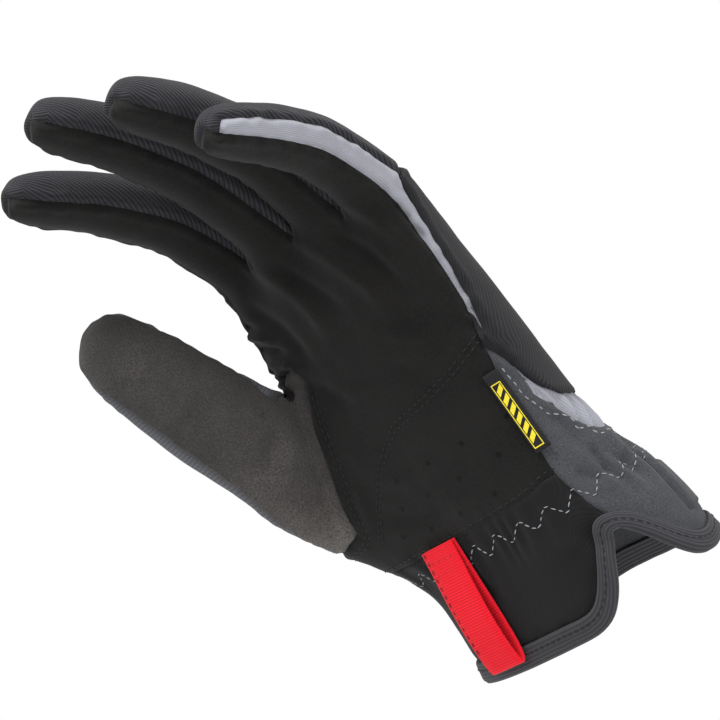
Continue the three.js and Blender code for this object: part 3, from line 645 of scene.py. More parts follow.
def ripple_relief(points, round_angle):
    relief = np.zeros(len(points))
    for size, height in UNEVEN:
        relief += height * cloth_noise(points, size, size * 1000)
    wander = cloth_noise(points * GATHER_STRETCH, *GATHER_NOISE)
    waves = np.sin(round_angle * GATHER_TURNS + wander * GATHER_WANDER)
    near = np.exp(-(((points[:, 2] - ELASTIC_HEIGHT) / ELASTIC_REACH) ** 2))
    dorsal = np.clip(0.35 + points @ DORSAL, 0.2, 1)
    tucks = np.abs(waves) ** GATHER_SHARPNESS * np.sign(waves)
    relief += (GATHER_HEIGHT * tucks - ELASTIC_DEPTH) * near * dorsal
    rise, groove = patch_relief(points, round_angle)
    return relief * (1 - PATCH_CALM * rise) + PATCH_RISE * rise - GROOVE_DEPTH * groove


def gusset_relief(points, round_angle):
    """Gathers of the light cloth, only in its own faces and none at its seams."""
    inside = np.zeros(len(points))
    np.add.at(inside, quads[panel_of == "wrist_gusset"].ravel(), 0.25)
    wander = cloth_noise(points, *GUSSET_NOISE)
    waves = np.sin(round_angle * GUSSET_TURNS + wander * GUSSET_WANDER)
    return GUSSET_HEIGHT * (waves - GUSSET_SINK) * (inside > 0.9)


round_angle = np.arctan2(hand[:, 1], hand[:, 0])
relief = fold_relief(hand, hand_normal) + ripple_relief(hand, round_angle)
relief += gusset_relief(hand, round_angle)
pucker = cloth_noise(hand, *PUCKER_NOISE)
hand = hand + hand_normal * relief[:, None]
hand_normal = vertex_normals(hand, quads)

# Seams: how each panel's outer face runs into the seam with a neighbour, as crease depth,
# crease width, roll height, roll distance and roll width, and the pucker's height and reach, all
# in millimetres
SEAM_STYLES = {
    "turned": (0.7, 0.9, 0.35, 2.2, 1.3),
    "lapped": (0.5, 0.5, 0.0, 1.0, 1.0),
    "under": (0.6, 2.2, 0.0, 1.0, 1.0),
    "flat": (0.25, 0.6, 0.1, 1.6, 0.9),
    "open": (0.8, 0.8, 0.0, 1.0, 1.0),
}
LAPPED = {
    ("back_panel", "wrist_gusset"), ("cuff_back", "wrist_gusset"),
    ("cuff_binding", "cuff_front"), ("cuff_binding", "cuff_back"),
}
FLAT = {("palm", "cuff_front"), ("cuff_front", "cuff_back"), ("palm", "cuff_back")}
PUCKER = {"turned": (0.9, 3.0), "flat": (0.2, 2.5), "under": (0.3, 3.0)}


def seam_style(panel, neighbour):
    if neighbour == "":
        return "open"
    if (panel, neighbour) in LAPPED:
        return "lapped"
    if (neighbour, panel) in LAPPED:
        return "under"
    if (panel, neighbour) in FLAT or (neighbour, panel) in FLAT:
        return "flat"
    return "turned"


def directed_keys(q):
    """One number for each edge of each quad, from its first corner to its next."""
    return np.concatenate([q[:, k].astype(np.int64) * len(hand) + q[:, (k + 1) % 4] for k in range(4)])


def reversed_keys(keys):
    return (keys % len(hand)) * len(hand) + keys // len(hand)


all_keys = directed_keys(quads)
key_order = np.argsort(all_keys)
sorted_keys = all_keys[key_order]
key_panel = np.tile(panel_of, 4)[key_order]


def panel_border(panel):
    """A panel's border as directed edges, and the panel across each of them."""
    keys = directed_keys(quads[panel_of == panel])
    border = keys[~np.isin(reversed_keys(keys), keys)]
    twins = reversed_keys(border)
    found = np.clip(np.searchsorted(sorted_keys, twins), 0, len(sorted_keys) - 1)
    return border, np.where(sorted_keys[found] == twins, key_panel[found], "")


def nearest_distance(points, places):
    tree = kdtree.KDTree(len(places))
    for i, p in enumerate(places):
        tree.insert(p, i)
    tree.balance()
    return np.array([tree.find(p)[2] for p in points])


def in_scene(name, data):
    obj = bpy.data.objects.new(name, data)
    bpy.context.scene.collection.objects.link(obj)
    return obj


def body_mesh(name, points, faces, uvs=None, smooth=True):
    """A mesh object from points and faces; uvs gives the cloth coordinates of every face corner."""
    mesh = bpy.data.meshes.new(name)
    mesh.from_pydata([tuple(p) for p in points], [], [tuple(int(i) for i in f) for f in faces])
    if uvs is not None:
        layer = mesh.uv_layers.new(name="cloth")
        layer.data.foreach_set("uv", np.asarray(uvs, np.float32).ravel())
    if smooth:
        mesh.polygons.foreach_set("use_smooth", [True] * len(mesh.polygons))
    mesh.validate()
    mesh.update()
    return in_scene(name, mesh)


shell = []  # outer faces of the finished panels, for what is sewn on them


def panel_wall(name, wall, proud):
    """A panel as a closed wall: its outer face with creased seams, an inner face and the rim."""
    mine = panel_of == name
    q_cloth = cloth[mine]
    border, neighbours = panel_border(name)
    starts, ends = border // len(hand), border % len(hand)
    ids, local = np.unique(quads[mine], return_inverse=True)
    local = local.reshape(-1, 4)
    points, normals = hand[ids], hand_normal[ids]
    lift = np.full(len(ids), proud * MM)
    for neighbour in sorted(set(neighbours)):
        a, b = starts[neighbours == neighbour], ends[neighbours == neighbour]
        places = np.concatenate([hand[a], (hand[a] + hand[b]) / 2])
        away = nearest_distance(points, places) / MM
        style = seam_style(name, neighbour)
        crease, narrow, roll, distance, spread = SEAM_STYLES[style]
        ripple, reach = PUCKER.get(style, (0, 1))
        lift += ripple * MM * pucker[ids] * np.exp(-((away / reach) ** 2))
        lift -= crease * MM * np.exp(-((away / narrow) ** 2))
        lift += roll * MM * np.exp(-(((away - distance) / spread) ** 2))
    outer = points + normals * lift[:, None]
    shell.append((outer, local))
    inner = points - normals * wall * MM
    count = len(ids)
    a, b = np.searchsorted(ids, starts), np.searchsorted(ids, ends)
    rim = np.stack([b, a, a + count, b + count], 1)
    corner_cloth = {}
    for quad, uv in zip(local, q_cloth):
        for i, place in zip(quad, uv):
            corner_cloth[i] = place
    rim_cloth = np.array([[corner_cloth[i % count] for i in face] for face in rim])
    faces = np.concatenate([local, local[:, ::-1] + count, rim])
    uvs = np.concatenate([q_cloth, q_cloth[:, ::-1], rim_cloth])
    return body_mesh(name + "_cloth", np.concatenate([outer, inner]), faces, uvs)


def srgb(r, g, b):
    """A colour as seen in the photograph, 0 to 255, for a shader."""
    def linear(v):
        v /= 255
        return v / 12.92 if v <= 0.04045 else ((v + 0.055) / 1.055) ** 2.4
    return (linear(r), linear(g), linear(b), 1)


def new_material(name, roughness, sheen=0.0, specular=0.3):
    material = bpy.data.materials.new(name)
    material.use_nodes = True
    shader = material.node_tree.nodes["Principled BSDF"]
    shader.inputs["Roughness"].default_value = roughness
    shader.inputs["Sheen Weight"].default_value = sheen
    shader.inputs["Sheen Roughness"].default_value = 0.6
    shader.inputs["Specular IOR Level"].default_value = specular
    return material, shader


def add_node(material, kind, inputs=None, **settings):
    node = material.node_tree.nodes.new(kind)
    for key, value in settings.items():
        setattr(node, key, value)
    for key, value in (inputs or {}).items():
        node.inputs[key].default_value = value
    return node


def join(material, out_socket, in_socket):
    material.node_tree.links.new(out_socket, in_socket)


def place_on_glove(material):
    return add_node(material, "ShaderNodeTexCoord").outputs["Object"]


def speckle(material, coordinate, scale, detail, low, high):
    """Noise stretched so that it runs from 0 at low to 1 at high."""
    settings = {"Scale": scale, "Detail": detail, "Roughness": 0.6}
    grain = add_node(material, "ShaderNodeTexNoise", settings)
    join(material, coordinate, grain.inputs["Vector"])
    spread = add_node(material, "ShaderNodeMapRange", {"From Min": low, "From Max": high})
    join(material, grain.outputs["Fac"], spread.inputs["Value"])
    return spread.outputs["Result"]


def blend_colour(material, factor, first, second):
    """A mix of two colours; each of the three values is a socket or plain."""
    mix = add_node(material, "ShaderNodeMix", data_type="RGBA")
    for socket, value in ((mix.inputs[0], factor), (mix.inputs[6], first), (mix.inputs[7], second)):
        if isinstance(value, bpy.types.NodeSocket):
            join(material, value, socket)
        else:
            socket.default_value = value
    return mix.outputs[2]


def blend_factor(material, value, share):
    node = add_node(material, "ShaderNodeMath", {1: share}, operation="MULTIPLY")
    join(material, value, node.inputs[0])
    return node.outputs[0]


def bump(material, shader, height, distance, strength):
    node = add_node(material, "ShaderNodeBump", {"Distance": distance, "Strength": strength})
    join(material, height, node.inputs["Height"])
    join(material, node.outputs["Normal"], shader.inputs["Normal"])


NAP_DEPTH = 0.00012
BROAD_SCALE, BROAD_SHARE = 45, 0.45
# share of the way to the third colour that a fade's painted shade reaches
PAINTED_SHADE_SHARE = 0.7


def suede(name, dark, light, worn_and_shade, grain_scale, contrast, fade=None):
    """Brushed synthetic suede: a short nap that mottles light and dark at two scales.

    fade gives the heights over which it turns towards the third colour as painted shade, strongest above
    them."""
    material, shader = new_material(name, 0.95, sheen=0.06, specular=0.12)
    place = place_on_glove(material)
    fine = speckle(material, place, grain_scale, 3, 0.5 - contrast, 0.5 + contrast)
    broad = speckle(material, place, BROAD_SCALE, 3, 0.35, 0.7)
    colour = blend_colour(material, fine, srgb(*dark), srgb(*light))
    colour = blend_colour(material, blend_factor(material, broad, BROAD_SHARE), colour, srgb(*worn_and_shade))
    # painted shade: above the fade heights the colour turns towards the third colour
    if fade:
        along = add_node(material, "ShaderNodeSeparateXYZ")
        join(material, place, along.inputs[0])
        rise = add_node(material, "ShaderNodeMapRange", {"From Min": fade[0], "From Max": fade[1]})
        join(material, along.outputs["Z"], rise.inputs["Value"])
        rise = blend_factor(material, rise.outputs["Result"], PAINTED_SHADE_SHARE)
        colour = blend_colour(material, rise, colour, srgb(*worn_and_shade))
    join(material, colour, shader.inputs["Base Color"])
    bump(material, shader, fine, NAP_DEPTH, 0.6)
    return material


def dress(obj, material, slot, *nodes):
    """Gives a finished piece its material, hangs it on the root body and hides any solids it stands for.
    """
    obj.data.materials.clear()
    obj.data.materials.append(material)
    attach(obj, "root")
    if nodes:
        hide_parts(*nodes)


def make_panel(node, material, slot, wall, proud=0.0):
    """The piece for one solid: its wall and how far it stands proud, in millimetres."""
    dress(panel_wall(node, wall, proud), material, slot, node)


# Palm
# One piece of black synthetic suede that covers the palm and runs up the front of the four
# fingers and over their tips.
palm_suede = suede("palm_suede", (8, 8, 8), (23, 22, 21), (30, 28, 27), 1500, 0.2)
make_panel("palm", palm_suede, "black_suede", 1.3)

# Thumb
# Brown-grey heathered suede over the front and the ball of the thumb, with painted shade that
# darkens it towards the tip, knit over its back and a small black web in the crotch.
# heights over which painted shade darkens the thumb towards its tip
THUMB_PAINTED_SHADE_HEIGHTS = (0.05, 0.1)
thumb_suede = suede("thumb_suede", (58, 56, 55), (116, 112, 108), (34, 32, 33), 1900, 0.2, THUMB_PAINTED_SHADE_HEIGHTS)
make_panel("thumb_front", thumb_suede, "brown_grey_suede", 1.3)


def ribbed_knit(name, dark, light, pitch, slant, depth, sheen=0.05):
    """Fine ribs that run at a slant over the cloth, pitch in metres."""
    material, shader = new_material(name, 0.85, sheen=sheen, specular=0.15)
    place = add_node(material, "ShaderNodeUVMap", uv_map="cloth").outputs["UV"]
    turn = add_node(material, "ShaderNodeMapping", {"Rotation": (0, 0, math.radians(slant))})
    join(material, place, turn.inputs["Vector"])
    waves = {"Scale": math.tau / 20 / pitch, "Distortion": 0.3, "Detail": 1}
    ribs = add_node(material, "ShaderNodeTexWave", waves)
    join(material, turn.outputs["Vector"], ribs.inputs["Vector"])
    fine = speckle(material, place_on_glove(material), 2200, 2, 0.3, 0.7)
    colour = blend_colour(material, ribs.outputs["Fac"], srgb(*dark), srgb(*light))
    colour = blend_colour(material, blend_factor(material, fine, 0.25), colour, srgb(*dark))
    join(material, colour, shader.inputs["Base Color"])
    bump(material, shader, ribs.outputs["Fac"], depth, 0.8)
    return material


thumb_knit = ribbed_knit("thumb_knit", (76, 77, 81), (92, 93, 98), 0.0011, 60, 0.00012)
make_panel("thumb_back", thumb_knit, "charcoal_knit", 1.1)
web_knit = ribbed_knit("web_knit", (10, 10, 11), (24, 24, 26), 0.0012, 0, 0.0002)
make_panel("thumb_web", web_knit, "black_knit", 1.1)

# Finger backs
# Four pieces of dark stretch knit with slanted ribs, each round the back and both sides of a
# finger. They meet the palm's suede at the fingers' edges.
finger_knit = ribbed_knit("finger_knit", (26, 26, 29), (50, 50, 55), 0.0013, 40, 0.0003)
for finger in FINGERS:
    make_panel("finger_back_" + finger, finger_knit, "charcoal_knit", 1.1)

# Back panel
# Thick black mesh cloth over the whole back of the hand, from the knuckles to the gusset. It
# stands a little proud of the panels round it.
padded_mesh = ribbed_knit("padded_mesh", (18, 18, 20), (36, 36, 39), 0.001, 30, 0.00015)
make_panel("back_panel", padded_mesh, "padded_mesh", 2.2, 0.5)

# Side band and wrist gusset
# Light grey stretch cloth in two pieces: a narrow band that runs up the little finger's side,
# and the gathered gusset between the back panel and the cuff.
stretch = ribbed_knit("stretch_cloth", (126, 127, 135), (144, 145, 153), 0.0007, 0, 0.00005, sheen=0.1)
make_panel("side_band", stretch, "light_grey_stretch", 1.0)
make_panel("wrist_gusset", stretch, "light_grey_stretch", 1.0)

# Cuff
# A dark piece below the palm and a grey one round the back of the wrist, both edged by an
# elastic tape whose ribs run along it, with the notch at the side.
cuff_dark = ribbed_knit("cuff_dark", (13, 13, 14), (19, 19, 21), 0.0009, 45, 0.00005)
cuff_grey = suede("cuff_grey", (44, 45, 47), (74, 75, 79), (52, 53, 56), 1900, 0.22)
make_panel("cuff_front", cuff_dark, "cuff_knit_dark", 1.6)
make_panel("cuff_back", cuff_grey, "cuff_knit_grey", 1.6, 0.2)
binding_tape = ribbed_knit("binding_tape", (42, 42, 45), (60, 60, 64), 0.0011, 90, 0.00015)
make_panel("cuff_binding", binding_tape, "ribbed_binding", 2.4, 0.6)

# Stitching
# Rows of thread that follow the seams at a set distance, the double rows over the palm, and the
# elastic zigzag round the wrist. Every row is a line on the finished cloth, with short stitches.
shell_points, shell_faces = [], []
for outer, local in shell:
    shell_faces += (local + len(shell_points)).tolist()
    shell_points += [Vector(p) for p in outer]
shell_tree = BVHTree.FromPolygons(shell_points, shell_faces)
EYE = AIM + Vector(TO_CAMERA) * VIEW_DISTANCE
SEAM_EASING = 6  # times that a seam's direction is averaged along it
SHORTEST_ROW = 3
STITCH_LEAST, STITCH_MOST = 0.82, 1.12  # how much the stitches differ in size
STITCH_SEED = 5


def seen_line(corners, step=0.001):
    """Points of the cloth behind a line given as the camera sees it, with their normals."""
    corners = np.array(corners) * MM
    reach = run_along(corners)
    line = []
    for at in np.arange(0, reach[-1], step):
        across, high = (np.interp(at, reach, corners[:, i]) for i in (0, 1))
        target = Vector(SEEN_ACROSS) * across + Vector((0, 0, high))
        place, normal, _, _ = shell_tree.ray_cast(EYE, target - EYE)
        if place is not None:
            line.append((place, normal))
    return line


def seam_line(panel, neighbour, offset, low=-50, high=300):
    """Lines on a panel at a set distance from its seam with a neighbour, between two heights, all
    in millimetres."""
    border, neighbours = panel_border(panel)
    ahead = {int(k // len(hand)): int(k % len(hand)) for k in border[neighbours == neighbour]}
    lines = []
    while ahead:
        starts = sorted(set(ahead) - set(ahead.values())) or sorted(ahead)
        here, chain = starts[0], [starts[0]]
        while here in ahead:
            here = ahead.pop(here)
            chain.append(here)
        path = hand[chain]
        tangent = np.gradient(path, axis=0) if len(path) > 2 else np.diff(path, axis=0).repeat(2, 0)
        for _ in range(SEAM_EASING):
            tangent[1:-1] = (tangent[:-2] + tangent[1:-1] + tangent[2:]) / 3
        inward = np.cross(hand_normal[chain], tangent)
        inward /= np.linalg.norm(inward, axis=1)[:, None]
        line = []
        for p in path + inward * offset * MM:
            if low * MM <= p[2] <= high * MM:
                place, normal, _, _ = shell_tree.find_nearest(Vector(p))
                line.append((place, normal))
        if len(line) > SHORTEST_ROW:
            lines.append(line)
    return lines


def pattern_tree(name, inputs, output):
    """A node tree with named inputs and one output of geometry, as a tree, its input and its output."""
    tree = bpy.data.node_groups.new(name, "GeometryNodeTree")
    for label, kind in inputs:
        tree.interface.new_socket(label, in_out="INPUT", socket_type="NodeSocket" + kind)
    tree.interface.new_socket(output, in_out="OUTPUT", socket_type="NodeSocketGeometry")
    return tree, tree.nodes.new("NodeGroupInput").outputs, tree.nodes.new("NodeGroupOutput").inputs


def tree_node(tree, kind, inputs, **settings):
    """A node; each of its inputs, by name or number, is another node's output or a plain value."""
    node = tree.nodes.new(kind)
    for key, value in settings.items():
        setattr(node, key, value)
    for key, value in inputs.items():
        if isinstance(value, bpy.types.NodeSocket):
            tree.links.new(value, node.inputs[key])
        else:
            node.inputs[key].default_value = value
    return node.outputs


def instanced(tree, points, turn, shape, scale, material):
    """The end of a tree: the shape at every point, as real mesh with its material."""
    where = {"Points": points, "Instance": shape, "Rotation": turn, "Scale": scale}
    placed = tree_node(tree, "GeometryNodeInstanceOnPoints", where)["Instances"]
    real = tree_node(tree, "GeometryNodeRealizeInstances", {"Geometry": placed})["Geometry"]
    covered = {"Geometry": real, "Material": material}
    return tree_node(tree, "GeometryNodeSetMaterial", covered)["Geometry"]


def stitch_tree():
    """Stitches set along a line: short capped threads that lie flat on the cloth."""
    inputs = (("Line", "Geometry"), ("Pitch", "Float"), ("Length", "Float"), ("Thickness", "Float"),
              ("Seed", "Int"), ("Thread", "Material"))
    tree, given, result = pattern_tree("stitch_row", inputs, "Stitches")
    curve = tree_node(tree, "GeometryNodeMeshToCurve", {"Mesh": given["Line"]})["Curve"]
    spacing = {"Curve": curve, "Length": given["Pitch"]}
    spaced = tree_node(tree, "GeometryNodeResampleCurve", spacing, mode="LENGTH")["Curve"]
    tangent = tree_node(tree, "GeometryNodeInputTangent", {})["Tangent"]
    out = tree_node(tree, "GeometryNodeInputNamedAttribute", {"Name": "out"}, data_type="FLOAT_VECTOR")
    axes = {"Primary Axis": tangent, "Secondary Axis": out["Attribute"]}
    turned = tree_node(tree, "FunctionNodeAxesToRotation", axes, primary_axis="X", secondary_axis="Z")
    thread = tree_node(tree, "GeometryNodeMeshUVSphere", {"Segments": 8, "Rings": 5, "Radius": 0.5})
    sides = {"X": given["Length"], "Y": given["Thickness"], "Z": given["Thickness"]}
    size = tree_node(tree, "ShaderNodeCombineXYZ", sides)["Vector"]
    span = {2: STITCH_LEAST, 3: STITCH_MOST, "Seed": given["Seed"]}
    uneven = tree_node(tree, "FunctionNodeRandomValue", span, data_type="FLOAT")[1]
    scaling = {"Vector": size, "Scale": uneven}
    scaled = tree_node(tree, "ShaderNodeVectorMath", scaling, operation="SCALE")
    row = instanced(tree, spaced, turned["Rotation"], thread["Mesh"], scaled["Vector"], given["Thread"])
    tree.links.new(row, result["Stitches"])
    return tree


stitch_row = stitch_tree()


def patterned(obj, tree, values):
    """Runs a node tree on an object, by its named inputs, and keeps the result as a plain mesh."""
    modifier = obj.modifiers.new("pattern", "NODES")
    modifier.node_group = tree
    for item in tree.interface.items_tree:
        if item.in_out == "INPUT" and item.name in values:
            modifier[item.identifier] = values[item.name]
    obj.update_tag()
    graph = bpy.context.evaluated_depsgraph_get()
    mesh = bpy.data.meshes.new_from_object(obj.evaluated_get(graph))
    obj.modifiers.remove(modifier)
    obj.data = mesh


def marked_points(name, places, edges=()):
    """An object of places on the cloth, each with the direction out of the cloth."""
    mesh = bpy.data.meshes.new(name)
    mesh.from_pydata([place for place, _ in places], edges, [])
    out = mesh.attributes.new("out", "FLOAT_VECTOR", "POINT")
    out.data.foreach_set("vector", np.array([normal for _, normal in places], np.float32).ravel())
    return in_scene(name, mesh)


def stitches(name, lines, thread, slot, pitch, length, thickness, rise=0.05):
    """One piece with all the rows of one kind; sizes in millimetres."""
    places, edges = [], []
    for line in lines:
        edges += [(i, i + 1) for i in range(len(places), len(places) + len(line) - 1)]
        places += [(place + normal * rise * MM, normal) for place, normal in line]
    obj = marked_points(name, places, edges)
    sizes = {"Pitch": pitch * MM, "Length": length * MM, "Thickness": thickness * MM}
    patterned(obj, stitch_row, {**sizes, "Seed": STITCH_SEED, "Thread": thread})
    obj.data.polygons.foreach_set("use_smooth", [True] * len(obj.data.polygons))
    dress(obj, thread, slot)


def thread_material(name, colour):
    material, shader = new_material(name, 0.6, sheen=0.05, specular=0.3)
    fibre = speckle(material, place_on_glove(material), 4000, 2, 0.3, 0.7)
    darker = tuple(v * 0.75 for v in colour)
    colour = blend_colour(material, fibre, srgb(*darker), srgb(*colour))
    join(material, colour, shader.inputs["Base Color"])
    return material


dark_thread = thread_material("dark_thread", (20, 20, 22))
black_thread = thread_material("black_thread", (9, 9, 10))
grey_thread = thread_material("grey_thread", (152, 156, 160))

# The curved double row from the little finger's side to the ball of the thumb
PALM_ARC = ((10.5, 92.5), (0, 88.5), (-11.3, 85.5), (-25.6, 82.8), (-35, 74.9), (-42, 65), (-47, 55.5))
ARC_SPACING = 2.0
arc_rows = [seen_line([(x, z + shift * ARC_SPACING) for x, z in PALM_ARC]) for shift in (0, 1)]
stitches("palm_arc_stitches", arc_rows, black_thread, "black_suede", 2.4, 1.6, 0.5)
thenar_rows = (seam_line("palm", "thumb_front", 3.0, 50, 108)
               + seam_line("palm", "thumb_front", 4.6, 50, 106))
stitches("thenar_stitches", thenar_rows, dark_thread, "black_suede", 2.6, 1.7, 0.42)
foot_rows = seam_line("palm", "cuff_front", 1.8)
stitches("palm_foot_stitches", foot_rows, dark_thread, "black_suede", 2.6, 1.7, 0.4)
hem_rows = seam_line("cuff_back", "wrist_gusset", 3.2)
stitches("hem_stitches", hem_rows, grey_thread, "cuff_knit_grey", 2.7, 1.7, 0.45)
binding_rows = seam_line("cuff_binding", "cuff_front", 2.6) + seam_line("cuff_binding", "cuff_back", 2.6)
stitches("binding_stitches", binding_rows, black_thread, "ribbed_binding", 2.5, 2.0, 0.5)

ZIGZAG_PITCH = 0.0104
ZIGZAG_RISE = 0.0026
ZIGZAG_LEAN = 0.5  # share of each step that climbs
ZIGZAG_TURN = 0.012
OUTSIDE = 0.2


def zigzag_line():
    """A level stepped line right round the wrist."""
    line, angle, run, last = [], 0.0, 0.0, None
    while angle < math.tau:
        share = (run / ZIGZAG_PITCH) % 1
        climb = share / ZIGZAG_LEAN if share < ZIGZAG_LEAN else (1 - share) / (1 - ZIGZAG_LEAN)
        start = Vector((0, 0, ELASTIC_HEIGHT + (climb - 0.5) * 2 * ZIGZAG_RISE))
        out = Vector((math.cos(angle), math.sin(angle), 0)) * OUTSIDE
        place, normal, _, _ = shell_tree.ray_cast(start + out, -out)
        if place is not None:
            line.append((place, normal))
            if last is not None:
                run += (Vector((place.x, place.y)) - last).length
            last = Vector((place.x, place.y))
        angle += ZIGZAG_TURN
    return line


stitches("elastic_stitches", [zigzag_line()], grey_thread, "cuff_knit_grey", 2.3, 1.7, 0.36)

# Perforations
# Small punched holes in a staggered grid over the heel of the palm, each a shallow pit sunk
# in the suede, coloured near black as painted shade of the hole.
HOLES = (
    (27, 70), (20, 61.5), (12, 70), (5, 61.5), (13, 52), (-2, 70),
    (-9, 61.5), (-2, 52), (-16, 70), (-22, 61.5), (-16, 52), (-28, 54),
)
HOLE_RADIUS = 0.00085
PIT_SIDES = 14
PIT_DEPTH = 0.0005
PIT_SINK = 0.0002
IN_FRONT = -0.1


def pit_tree():
    """A shallow round pit set flat at every point, facing out of the cloth."""
    inputs = (("Places", "Geometry"), ("Radius", "Float"), ("PaintedShade", "Material"))
    tree, given, result = pattern_tree("perforations", inputs, "Pits")
    points = tree_node(tree, "GeometryNodeMeshToPoints", {"Mesh": given["Places"]})["Points"]
    out = tree_node(tree, "GeometryNodeInputNamedAttribute", {"Name": "out"}, data_type="FLOAT_VECTOR")
    aim = {"Vector": out["Attribute"]}
    turned = tree_node(tree, "FunctionNodeAlignRotationToVector", aim, axis="Z")["Rotation"]
    form = {"Vertices": PIT_SIDES, "Depth": PIT_DEPTH, "Radius": given["Radius"]}
    pit = tree_node(tree, "GeometryNodeMeshCylinder", form)["Mesh"]
    pits = instanced(tree, points, turned, pit, (1, 1, 1), given["PaintedShade"])
    tree.links.new(pits, result["Pits"])
    return tree


hole_places = []
for x, z in HOLES:
    place, normal, _, _ = shell_tree.ray_cast(Vector((x * MM, IN_FRONT, z * MM)), Vector((0, 1, 0)))
    hole_places.append((place - normal * PIT_SINK, normal))
holes = marked_points("perforations", hole_places)
# near-black suede in the pits: painted shade inside the holes
painted_pit_shade = suede("painted_pit_shade", (3, 3, 3), (7, 7, 7), (4, 4, 4), 1500, 0.18)
patterned(holes, pit_tree(), {"Radius": HOLE_RADIUS, "PaintedShade": painted_pit_shade})
dress(holes, painted_pit_shade, "black_suede")

# Pull loop
# Red webbing folded into a loop, its ends sewn into the seam between palm and cuff. It follows
# the solid's line, with fine crosswise ribs, short rows across its top and one along its edge.
TAB_WIDTH = 0.0155
TAB_HALF_THICK = 0.0006
TAB_X = -0.0159
TAB_ACROSS = np.array((0.997, -0.077, 0))
TAB_OUT = Vector((TAB_ACROSS[1], -TAB_ACROSS[0], 0))
TAB_PITCH = 0.00085
TAB_RIB = 0.00009
TAB_STEPS = 280
# The loop's line: how far it stands out to -Y, and its height, in millimetres
TAB_PATH = np.array([
    (-29.9, 46.6), (-29.8, 33.7), (-29.7, 19.9), (-30.0, 10.4), (-31.0, 5.3), (-32.6, 4.4),
    (-33.6, 8.7), (-33.9, 18.2), (-33.2, 29.4), (-32.1, 38.8), (-31.3, 46.6),
]) * MM
# Corners of a band's section: shares of its width and of half its thickness
BAND_CORNERS = (
    (-0.5, 0.35), (-0.47, 1), (-0.25, 1), (0, 1), (0.25, 1), (0.47, 1), (0.5, 0.35),
    (0.5, -0.35), (0.47, -1), (0.25, -1), (0, -1), (-0.25, -1), (-0.47, -1), (-0.5, -0.35),
)
BAND_CLOTH_ROUND, BAND_CLOTH_STEP = 0.03, 0.0003
TOP_ROW_SHARES = (-0.3, -0.1, 0.1, 0.3)
TOP_ROW_PLACE = np.array((TAB_X, -0.0319, 0.0425))
TOP_ROW_RUN = np.array((0, 0.0004, 0.0042))
EDGE_ROW_FROM, EDGE_ROW_STEP = 168, 4
EDGE_ROW_SHARE = -0.4
CURVE_STEPS = 24


def smooth_path(corners, steps):
    """Evenly spaced points of a smooth curve through the corners, and the curve's length."""
    padded = np.concatenate([corners[:1], corners, corners[-1:]])
    dense = []
    for i in range(len(corners) - 1):
        a, b, c, d = padded[i:i + 4]
        for t in np.linspace(0, 1, CURVE_STEPS, endpoint=False):
            dense.append(((2 * b) + (c - a) * t + (2 * a - 5 * b + 4 * c - d) * t * t
                          + (3 * b - a - 3 * c + d) * t ** 3) / 2)
    dense = np.array(dense + [corners[-1]])
    reach = run_along(dense)
    at = np.linspace(0, reach[-1], steps)
    return np.stack([np.interp(at, reach, dense[:, i]) for i in range(dense.shape[1])], 1), reach[-1]


def swept(name, sections):
    """A closed sweep of equal rings of points, capped at both ends, with its cloth coordinates."""
    rings, ring = len(sections), len(sections[0])
    faces, uvs = [], []
    for i in range(rings - 1):
        for k in range(ring):
            n = (k + 1) % ring
            faces.append((i * ring + k, i * ring + n, (i + 1) * ring + n, (i + 1) * ring + k))
            left, right = k / ring * BAND_CLOTH_ROUND, (k + 1) / ring * BAND_CLOTH_ROUND
            uvs += cloth_patch(left, right, i * BAND_CLOTH_STEP, (i + 1) * BAND_CLOTH_STEP)
    last = (rings - 1) * ring
    faces += [tuple(range(ring))[::-1], tuple(range(last, last + ring))]
    uvs += [(0, 0)] * (2 * ring)
    return body_mesh(name, np.concatenate(sections), faces, uvs)


tab_line, tab_reach = smooth_path(TAB_PATH, TAB_STEPS)
tab_sections = []
for i, (y, z) in enumerate(tab_line):
    ahead, behind = tab_line[min(i + 1, TAB_STEPS - 1)], tab_line[max(i - 1, 0)]
    along = unit(np.array((0, ahead[0] - behind[0], ahead[1] - behind[1])))
    out = unit(np.cross(along, TAB_ACROSS))
    rib = TAB_RIB * math.sin(i / TAB_STEPS * tab_reach * math.tau / TAB_PITCH)
    tab_sections.append(np.array([
        (TAB_X, y, z) + TAB_ACROSS * u * TAB_WIDTH + out * v * (TAB_HALF_THICK + rib * (abs(v) == 1))
        for u, v in BAND_CORNERS]))
red_web = ribbed_knit("red_webbing", (198, 10, 28), (228, 20, 40), TAB_PITCH, 90, 0.00005)
dress(swept("pull_loop", tab_sections), red_web, "red_webbing", "pull_tab")

loop_rows = []
for share in TOP_ROW_SHARES:
    top = TOP_ROW_PLACE + TAB_ACROSS * share * TAB_WIDTH
    loop_rows.append([(Vector(top), TAB_OUT), (Vector(top - TOP_ROW_RUN), TAB_OUT)])
loop_rows.append([])
for y, z in tab_line[EDGE_ROW_FROM::EDGE_ROW_STEP]:
    place = np.array((TAB_X, y - TAB_HALF_THICK, z)) + TAB_ACROSS * EDGE_ROW_SHARE * TAB_WIDTH
    loop_rows[-1].append((Vector(place), TAB_OUT))
red_thread = thread_material("red_thread", (110, 8, 20))
stitches("loop_stitches", loop_rows, red_thread, "red_webbing", 2.6, 1.7, 0.4, rise=0.3)

# Label
# A woven label over the side seam: black, with a plain yellow frame line and slanted bars in
# place of print.
LABEL_WIDTH = 0.0052
LABEL_HALF_THICK = 0.45
LABEL_SEEN = ((8.9, 82.8), (10.9, 51.0))
LABEL_CLEAR = 0.0011
LABEL_STEPS = 40
LABEL_SEEN_STEP = 12
LABEL_SECTIONS = 24
